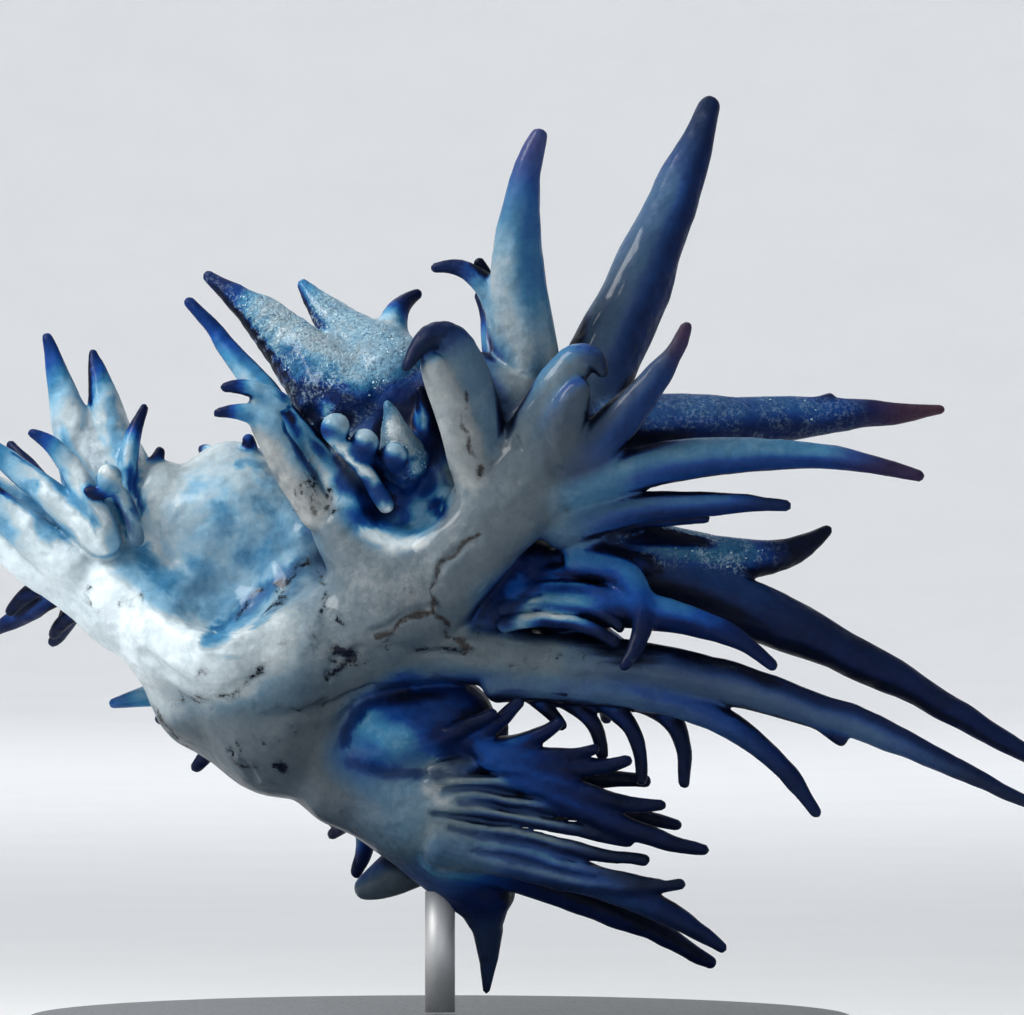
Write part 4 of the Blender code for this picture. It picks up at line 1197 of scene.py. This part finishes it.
class Tree:
    """Short calls for building a node tree."""

    def __init__(self, tree):
        self.tree = tree

    def add(self, kind, sockets=None, **settings):
        node = self.tree.nodes.new(kind)
        for name, value in settings.items():
            setattr(node, name, value)
        for key, value in (sockets or {}).items():
            self.put(node.inputs[key], value)
        return node

    def put(self, socket, value):
        if isinstance(value, bpy.types.NodeSocket):
            self.tree.links.new(value, socket)
        else:
            socket.default_value = value

    def math(self, operation, first, second, clamp=False):
        return self.add(
            "ShaderNodeMath", {0: first, 1: second}, operation=operation, use_clamp=clamp).outputs[0]

    def plus(self, first, second, clamp=False):
        return self.math("ADD", first, second, clamp)

    def minus(self, first, second):
        return self.math("SUBTRACT", first, second)

    def times(self, first, second):
        return self.math("MULTIPLY", first, second)

    def rising(self, numbers, value):
        """The first of the two numbers, and as much of the second as the value says."""
        return self.plus(numbers[0], self.times(value, numbers[1]))

    def mix(self, share, first, second):
        node = self.add("ShaderNodeMix", data_type="RGBA")
        self.put(node.inputs["Factor"], share)
        self.put(node.inputs["A"], first)
        self.put(node.inputs["B"], second)
        return node.outputs["Result"]

    def band(self, value, low, high):
        """0 at low and beyond it, 1 at high and beyond it, smooth between. low may be the higher."""
        return self.add(
            "ShaderNodeMapRange", {"Value": value, "From Min": low, "From Max": high},
            interpolation_type="SMOOTHSTEP").outputs["Result"]

    def noise(self, vector, per_mm, detail=3.0, rough=0.55, warp=0.0):
        """Noise whose largest lumps are 1/per_mm millimetres."""
        return self.add("ShaderNodeTexNoise", {
            "Vector": vector, "Scale": per_mm / MM, "Detail": detail, "Roughness": rough,
            "Distortion": warp}).outputs[0]

    def swing(self, vector, *noise):
        """Noise about 0."""
        return self.minus(self.noise(vector, *noise), 0.5)

    def attribute(self, name):
        return self.add("ShaderNodeAttribute", attribute_name=name).outputs["Fac"]

    def ramp(self, value, stops):
        node = self.add("ShaderNodeValToRGB", {"Fac": value})
        node.color_ramp.interpolation = "LINEAR"
        elements = node.color_ramp.elements
        while len(elements) < len(stops):
            elements.new(0.5)
        for element, (place, colour) in zip(elements, stops):
            element.position = place
            element.color = (*colour, 1.0)
        return node.outputs["Color"]

    def bump(self, height, depth, normal=None):
        node = self.add("ShaderNodeBump", {"Height": height, "Strength": 1.0, "Distance": depth})
        if normal is not None:
            self.put(node.inputs["Normal"], normal)
        return node.outputs["Normal"]


def grain_group():
    """A shader node group of fine grain for paint, steel and floor: a height and a mask."""
    if "fine_grain" in bpy.data.node_groups:
        return bpy.data.node_groups["fine_grain"]
    group = bpy.data.node_groups.new("fine_grain", "ShaderNodeTree")
    group.interface.new_socket("Vector", in_out="INPUT", socket_type="NodeSocketVector")
    for label, way in (("Per Metre", "INPUT"), ("Height", "OUTPUT"), ("Mask", "OUTPUT")):
        group.interface.new_socket(label, in_out=way, socket_type="NodeSocketFloat")
    tree = Tree(group)
    given = tree.add("NodeGroupInput")
    noise = tree.add("ShaderNodeTexNoise", {
        "Vector": given.outputs["Vector"], "Scale": given.outputs["Per Metre"],
        "Detail": 4.0, "Roughness": 0.6})
    tree.add("NodeGroupOutput", {
        "Height": noise.outputs[0], "Mask": tree.band(noise.outputs[0], 0.35, 0.65)})
    return group


def new_material(name):
    """A node material: its Tree, its Principled BSDF and the object coordinates."""
    made = bpy.data.materials.new(name)
    made.use_nodes = True
    tree = Tree(made.node_tree)
    shader = made.node_tree.nodes["Principled BSDF"]
    coords = tree.add("ShaderNodeTexCoord").outputs["Object"]
    return made, tree, shader, coords


def grained_material(name, colour, per_metre, contrast, rough):
    """A plain finish with fine grain, which changes the brightness by contrast. rough is its
    roughness, and what the grain adds to it, if anything. It comes with its Tree, its Principled
    BSDF and the grain's node."""
    made, tree, shader, coords = new_material(name)
    grain = tree.add(
        "ShaderNodeGroup", {"Vector": coords, "Per Metre": per_metre}, node_tree=grain_group())
    mask = grain.outputs["Mask"]
    grained = [part * contrast for part in colour]
    tree.put(shader.inputs["Base Color"], tree.mix(mask, (*colour, 1.0), (*grained, 1.0)))
    tree.put(shader.inputs["Roughness"], tree.rising(rough, mask) if len(rough) > 1 else rough[0])
    return made, tree, shader, grain


def skin_colour(tree, tone, settings):
    """The colour that the tone stands for, greyed and browned by the attributes."""
    clear = tree.ramp(tone, [
        (0.0, settings.white), (0.14, settings.silver), (0.30, settings.pale_blue),
        (0.46, settings.azure), (0.64, settings.cobalt), (0.82, settings.navy),
        (1.0, settings.ink)])
    putty = tree.ramp(tone, [
        (0.0, settings.warm_white), (0.3, settings.warm_grey), (0.7, settings.slate),
        (1.0, settings.ink)])
    dull = tree.mix(tree.times(tree.attribute("grey"), GREY_SHARE), clear, putty)
    return tree.mix(
        tree.times(tree.attribute("brown"), BROWN_SHARE), dull, (*settings.maroon, 1.0))


def skin_lines(tree, coords, under, settings):
    """The cracks and veins laid over a colour, with the masks of both."""
    wander = tree.plus(
        tree.swing(coords, *LINE_RAGGED), tree.times(tree.swing(coords, *LINE_GAPS), GAPS_SHARE))
    crack_edge = tree.plus(tree.attribute("crack"), tree.times(wander, CRACK_RAGGED))
    vein_edge = tree.plus(tree.attribute("vein"), tree.times(wander, VEIN_RAGGED))
    crack = tree.band(crack_edge, *CRACK_BAND)
    vein = tree.band(vein_edge, *VEIN_BAND)
    halo = tree.times(tree.band(crack_edge, *HALO_BAND), HALO_SHARE)
    shaded = tree.mix(halo, under, (*settings.slate, 1.0))
    cracked = tree.mix(crack, shaded, (*settings.ink, 1.0))
    return tree.mix(tree.times(vein, VEIN_SHARE), cracked, (*settings.umber, 1.0)), crack, vein


def skin_material(settings):
    made, tree, shader, coords = new_material("sea_slug_skin")
    fine = tree.noise(coords, *FINE_NOISE)
    plain_tone = tree.attribute("tone")
    shift = tree.plus(
        tree.times(tree.swing(coords, *CLOUD_NOISE), CLOUD_SHIFT),
        tree.times(tree.minus(fine, 0.5), FINE_SHIFT))
    steady = tree.times(tree.band(plain_tone, *STEADY_TONES), STEADY_SHARE)
    tone = tree.plus(plain_tone, tree.times(shift, tree.minus(1.0, steady)), clamp=True)
    colour, crack, vein = skin_lines(tree, coords, skin_colour(tree, tone, settings), settings)

    speck = tree.noise(coords, *SPECK_NOISE)
    patches = tree.band(tree.noise(coords, *SPECK_PATCHES), *PATCHES_BAND)
    lit = tree.times(tree.band(speck, *LIT_BAND), patches)
    dark = tree.band(speck, *DARK_BAND)
    lighter = tree.mix(tree.times(lit, LIT_SHARE), colour, (*settings.foil, 1.0))
    foil = tree.mix(tree.times(dark, DARK_SHARE), lighter, (*settings.navy, 1.0))
    metal = tree.times(tree.attribute("metal"), tree.band(tone, *METAL_TONES))
    tree.put(shader.inputs["Base Color"], tree.mix(metal, colour, foil))
    tree.put(shader.inputs["Metallic"], tree.times(metal, tree.rising(METALLIC, lit)))

    height = tree.times(tree.noise(coords, *RELIEF_NOISE), LUMP_HEIGHT)
    for part, most in (
            (fine, FINE_HEIGHT), (crack, CRACK_HEIGHT), (vein, VEIN_HEIGHT),
            (tree.times(metal, speck), METAL_HEIGHT)):
        height = tree.plus(height, tree.times(part, most))
    swell = tree.bump(tree.noise(coords, *SWELL_NOISE), SWELL_DEPTH)
    tree.put(shader.inputs["Normal"], tree.bump(height, RELIEF_DEPTH, swell))

    tree.put(shader.inputs["Roughness"], tree.rising(ROUGHNESS, fine))
    tree.put(shader.inputs["Coat Weight"], tree.rising(COAT, tree.band(tone, *DEEP_TONES)))
    shader.inputs["Coat Roughness"].default_value = COAT_ROUGHNESS
    shader.inputs["Specular IOR Level"].default_value = SPECULAR
    return made


def granules_material(settings):
    made, tree, shader, coords = new_material("metal_granules")
    shade = tree.noise(coords, 6.0, 2.0, 0.6)
    colour = tree.ramp(shade, [
        (0.25, settings.azure), (0.42, settings.pale_blue), (0.58, settings.foil),
        (0.80, settings.white)])
    tree.put(shader.inputs["Base Color"], colour)
    tree.put(shader.inputs["Roughness"], tree.rising((0.22, 0.3), shade))
    shader.inputs["Metallic"].default_value = 0.75
    return made


def granules_group():
    """Geometry nodes: flat granules scattered over the metallic skin, where its mask lets them."""
    group = bpy.data.node_groups.new("metal_granules", "GeometryNodeTree")
    for label, kind in (
            ("Geometry", "Geometry"), ("Per Square Metre", "Float"), ("Radius", "Float"),
            ("Seed", "Int"), ("Material", "Material")):
        group.interface.new_socket(label, in_out="INPUT", socket_type="NodeSocket" + kind)
    group.interface.new_socket("Geometry", in_out="OUTPUT", socket_type="NodeSocketGeometry")
    tree = Tree(group)
    given = tree.add("NodeGroupInput").outputs
    mask = tree.add("GeometryNodeInputNamedAttribute", {"Name": "granules"}, data_type="FLOAT")
    scatter = tree.add("GeometryNodeDistributePointsOnFaces", {
        "Mesh": given["Geometry"], "Seed": given["Seed"],
        "Density": tree.times(mask.outputs["Attribute"], given["Per Square Metre"])})
    granule = tree.add(
        "GeometryNodeMeshIcoSphere", {"Radius": given["Radius"], "Subdivisions": 1})
    size = tree.add(
        "FunctionNodeRandomValue", {"Seed": given["Seed"]}, data_type="FLOAT_VECTOR")
    size.inputs["Min"].default_value = SMALLEST_GRANULE
    size.inputs["Max"].default_value = LARGEST_GRANULE
    spread = tree.add("GeometryNodeInstanceOnPoints", {
        "Points": scatter.outputs["Points"], "Instance": granule.outputs["Mesh"],
        "Rotation": scatter.outputs["Rotation"], "Scale": size.outputs["Value"]})
    real = tree.add("GeometryNodeRealizeInstances", {"Geometry": spread.outputs["Instances"]})
    coloured = tree.add("GeometryNodeSetMaterial", {
        "Geometry": real.outputs["Geometry"], "Material": given["Material"]})
    tree.add("NodeGroupOutput", {"Geometry": coloured.outputs["Geometry"]})
    return group


# ----------------------------------------
# Settings.

def colour_property(name, description, default):
    return bpy.props.FloatVectorProperty(
        name=name, description=description, subtype="COLOR", size=3, min=0.0, max=1.0, default=default)


class SlugSkinSettings(bpy.types.PropertyGroup):
    """Sizes and colours of the skin."""

    cell: bpy.props.FloatProperty(
        name="Cell", description="Size of a lattice cell, in grid steps", default=2.8, min=2.0)
    triangles: bpy.props.IntProperty(
        name="Triangles", description="Most triangles of the skin", default=196000)
    white: colour_property("White", "Brightest skin", (0.70, 0.81, 0.87))
    silver: colour_property("Silver", "Silvery skin of the back", (0.42, 0.52, 0.57))
    pale_blue: colour_property("Pale blue", "Light blue skin", (0.20, 0.40, 0.56))
    azure: colour_property("Azure", "Clear blue stripes", (0.038, 0.20, 0.38))
    cobalt: colour_property("Cobalt", "Deep blue undersides", (0.004, 0.054, 0.26))
    navy: colour_property("Navy", "Dark blue tips", (0.0016, 0.013, 0.080))
    ink: colour_property("Ink", "Blue-black", (0.002, 0.005, 0.018))
    warm_white: colour_property("Warm white", "Palest putty skin", (0.44, 0.45, 0.44))
    warm_grey: colour_property("Warm grey", "Putty skin", (0.112, 0.120, 0.124))
    slate: colour_property("Slate", "Dark grey-blue skin", (0.030, 0.050, 0.070))
    maroon: colour_property("Maroon", "Brown-red stain", (0.09, 0.035, 0.04))
    umber: colour_property("Umber", "Brown veins", (0.024, 0.017, 0.015))
    foil: colour_property("Foil", "Metallic scales", (0.55, 0.76, 0.84))


class SlugGranuleSettings(bpy.types.PropertyGroup):
    """Number and size of the metallic granules."""

    density: bpy.props.FloatProperty(
        name="Density", description="Granules per square millimetre", default=36.0, min=0.0)
    radius: bpy.props.FloatProperty(
        name="Radius", description="Radius of a granule", default=0.036 * MM, unit="LENGTH")
    seed: bpy.props.IntProperty(name="Seed", description="Seed of their places", default=3)


class SlugStandSettings(bpy.types.PropertyGroup):
    """Colours of the display stand."""

    base: colour_property("Base", "Painted base", (0.055, 0.06, 0.066))
    rod: colour_property("Rod", "Steel rod", (0.72, 0.73, 0.74))


class SlugStageSettings(bpy.types.PropertyGroup):
    """The camera and the floor."""

    distance: bpy.props.FloatProperty(
        name="Distance", description="Camera to the middle of the animal", default=0.300,
        unit="LENGTH")
    frame_width: bpy.props.FloatProperty(
        name="Frame width", description="Width seen at the animal", default=0.03072, unit="LENGTH")
    aim: bpy.props.FloatVectorProperty(
        name="Aim", description="Point in the middle of the frame", default=(0.00216, 0.0, 0.017625),
        subtype="XYZ", unit="LENGTH")
    floor: colour_property("Floor", "Floor and cove", (0.92, 0.93, 0.94))


# ----------------------------------------
# Operators.

class SLUG_OT_skin(bpy.types.Operator):
    """Build the one skin of the animal with its markings"""

    bl_idname = "slug.skin"
    bl_label = "Skin"

    def execute(self, context):
        settings = context.scene.slug_skin
        body = body_field(settings.cell)
        field = with_fingers(body)
        points, quads = net_surface(field)
        skin = link("skin", mesh_from("skin", points, quads))
        decimate = skin.modifiers.new("Thin", "DECIMATE")
        decimate.ratio = min(1.0, settings.triangles / (2 * len(quads)))
        decimate.use_collapse_triangulate = True
        skin.data = evaluated_mesh(skin)
        skin.modifiers.clear()
        mesh = skin.data
        mesh.shade_smooth()
        points = vertex_array(mesh, "co") / GRID
        columns = mark_columns(points, vertex_array(mesh, "normal"), field, body)
        warped = points + organic_warp(points)
        mesh.vertices.foreach_set("co", (warped * GRID).astype(np.float32).ravel())
        mesh.update()
        for name, values in columns.items():
            attribute = mesh.attributes.new(name, "FLOAT", "POINT")
            attribute.data.foreach_set("value", values.astype(np.float32))
        mesh.materials.append(skin_material(settings))
        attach(skin, "root")
        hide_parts(*FLESH_NODES)
        return {"FINISHED"}


class SLUG_OT_granules(bpy.types.Operator):
    """Scatter metallic granules over the shining fingers"""

    bl_idname = "slug.granules"
    bl_label = "Metallic granules"

    def execute(self, context):
        settings = context.scene.slug_granules
        granules = link("granules", bpy.data.objects["skin"].data)
        group = granules_group()
        modifier = granules.modifiers.new("Granules", "NODES")
        modifier.node_group = group
        values = {
            "Per Square Metre": settings.density / MM**2,
            "Radius": settings.radius,
            "Seed": settings.seed,
            "Material": granules_material(context.scene.slug_skin),
        }
        for item in group.interface.items_tree:
            if item.name in values:
                modifier[item.identifier] = values[item.name]
        granules.data = evaluated_mesh(granules)
        granules.modifiers.clear()
        granules.data.shade_smooth()
        if not len(granules.data.polygons):
            raise RuntimeError("no granules were made")
        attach(granules, "root")
        return {"FINISHED"}


class SLUG_OT_stand(bpy.types.Operator):
    """Finish the base and the rod of the display stand"""

    bl_idname = "slug.stand"
    bl_label = "Display stand"

    def execute(self, context):
        settings = context.scene.slug_stand
        self.make_base(settings.base)
        self.make_rod(settings.rod)
        return {"FINISHED"}

    def make_base(self, colour):
        """A painted disc with a rounded upper rim and a small chamfer below."""
        made, tree, shader, grain = grained_material(
            "stand_base_paint", colour, 9000.0, 1.5, (0.38, 0.12))
        tree.put(shader.inputs["Normal"], tree.bump(grain.outputs["Height"], PAINT_DEPTH))
        (x0, y0, z0), (x1, y1, z1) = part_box("stand_base")
        radius, height = (x1 - x0) / 2, z1 - z0
        profile = [(0.0, height)] + rounded_rim(radius, height, BASE_EDGE)
        profile += [(radius, BASE_EDGE), (radius - BASE_EDGE, 0.0), (0.0, 0.0)]
        base = link("base", turned("base", profile, ((x0 + x1) / 2, (y0 + y1) / 2, z0)))
        base.data.materials.append(made)
        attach(base, "root")
        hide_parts("stand_base")

    def make_rod(self, colour):
        """A bright steel wire, flush with the base below and the animal above."""
        made, _, shader, _ = grained_material(
            "stand_rod_steel", colour, 16000.0, 0.96, (0.48, 0.1))
        shader.inputs["Metallic"].default_value = 0.55
        (x0, y0, z0), (x1, y1, z1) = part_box("stand_rod")
        radius, height = (x1 - x0) / 2, z1 - z0
        profile = [(0.0, height), (radius, height), (radius, 0.0), (0.0, 0.0)]
        rod = link("rod", turned("rod", profile, ((x0 + x1) / 2, (y0 + y1) / 2, z0), 48))
        rod.data.materials.append(made)
        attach(rod, "root")
        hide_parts("stand_rod")


class SLUG_OT_stage(bpy.types.Operator):
    """Set up the floor, the lights and the camera"""

    bl_idname = "slug.stage"
    bl_label = "Studio"

    def execute(self, context):
        settings = context.scene.slug_stage
        self.make_floor(settings.floor)
        self.make_lights(context)
        context.scene.view_settings.view_transform = "Standard"
        camera = bpy.data.cameras.new("camera")
        camera.sensor_width = 36.0
        camera.lens = camera.sensor_width * settings.distance / settings.frame_width
        camera.clip_start = 0.01
        holder = link("camera", camera)
        holder.location = Vector(settings.aim) + Vector((0, -settings.distance, 0))
        holder.rotation_euler = (pi / 2, 0, 0)
        context.scene.camera = holder
        return {"FINISHED"}

    def make_floor(self, colour):
        """A floor that sweeps up all round into a low wall."""
        profile = [(0.0, 0.0), (FLOOR_FLAT, 0.0)]
        for step in range(1, FLOOR_STEPS + 1):
            turn = pi / 2 * step / FLOOR_STEPS
            profile.append((FLOOR_FLAT + FLOOR_SWEEP * sin(turn), FLOOR_SWEEP * (1 - cos(turn))))
        profile.append((FLOOR_FLAT + FLOOR_SWEEP, WALL_HEIGHT))
        mesh = turned("floor", profile, (0, 0, 0))
        made, _, _, _ = grained_material("floor", colour, 90.0, 0.985, (0.8,))
        mesh.materials.append(made)
        link("floor", mesh)

    def make_lights(self, context):
        world = bpy.data.worlds.new("studio")
        context.scene.world = world
        world.use_nodes = True
        sky = world.node_tree.nodes["Background"]
        sky.inputs["Color"].default_value = (0.92, 0.95, 1.0, 1.0)
        sky.inputs["Strength"].default_value = 0.10
        for light in LIGHTS:
            lamp = bpy.data.lights.new(light.name, "AREA")
            lamp.size = light.size
            lamp.energy = light.power
            lamp.color = light.colour
            holder = link(light.name, lamp)
            holder.location = light.place
            aim = Vector(light.target) - Vector(light.place)
            holder.rotation_euler = aim.to_track_quat("-Z", "Y").to_euler()


class SLUG_PT_panel(bpy.types.Panel):
    """Lists the pieces of the sea slug model"""

    bl_idname = "SLUG_PT_panel"
    bl_label = "Sea Slug"
    bl_space_type = "VIEW_3D"
    bl_region_type = "UI"
    bl_category = "Sea Slug"

    def draw(self, context):
        for name, kind in SETTINGS.items():
            box = self.layout.box()
            for setting in kind.__annotations__:
                box.prop(getattr(context.scene, name), setting)
            box.operator(name.replace("_", "."))


# Each operator's settings are kept on the scene under its own name, with _ for the dot.
SETTINGS = {
    "slug_skin": SlugSkinSettings,
    "slug_granules": SlugGranuleSettings,
    "slug_stand": SlugStandSettings,
    "slug_stage": SlugStageSettings,
}
CLASSES = (
    *SETTINGS.values(), SLUG_OT_skin, SLUG_OT_granules, SLUG_OT_stand, SLUG_OT_stage,
    SLUG_PT_panel,
)


def register():
    for kind in CLASSES:
        bpy.utils.register_class(kind)
    for name, kind in SETTINGS.items():
        setattr(bpy.types.Scene, name, bpy.props.PointerProperty(type=kind))


def unregister():
    for name in SETTINGS:
        delattr(bpy.types.Scene, name)
    for kind in reversed(CLASSES):
        bpy.utils.unregister_class(kind)


def main():
    register()
    bpy.ops.slug.stage()
    bpy.ops.slug.skin()
    bpy.ops.slug.granules()
    bpy.ops.slug.stand()


if __name__ == "__main__":
    main()
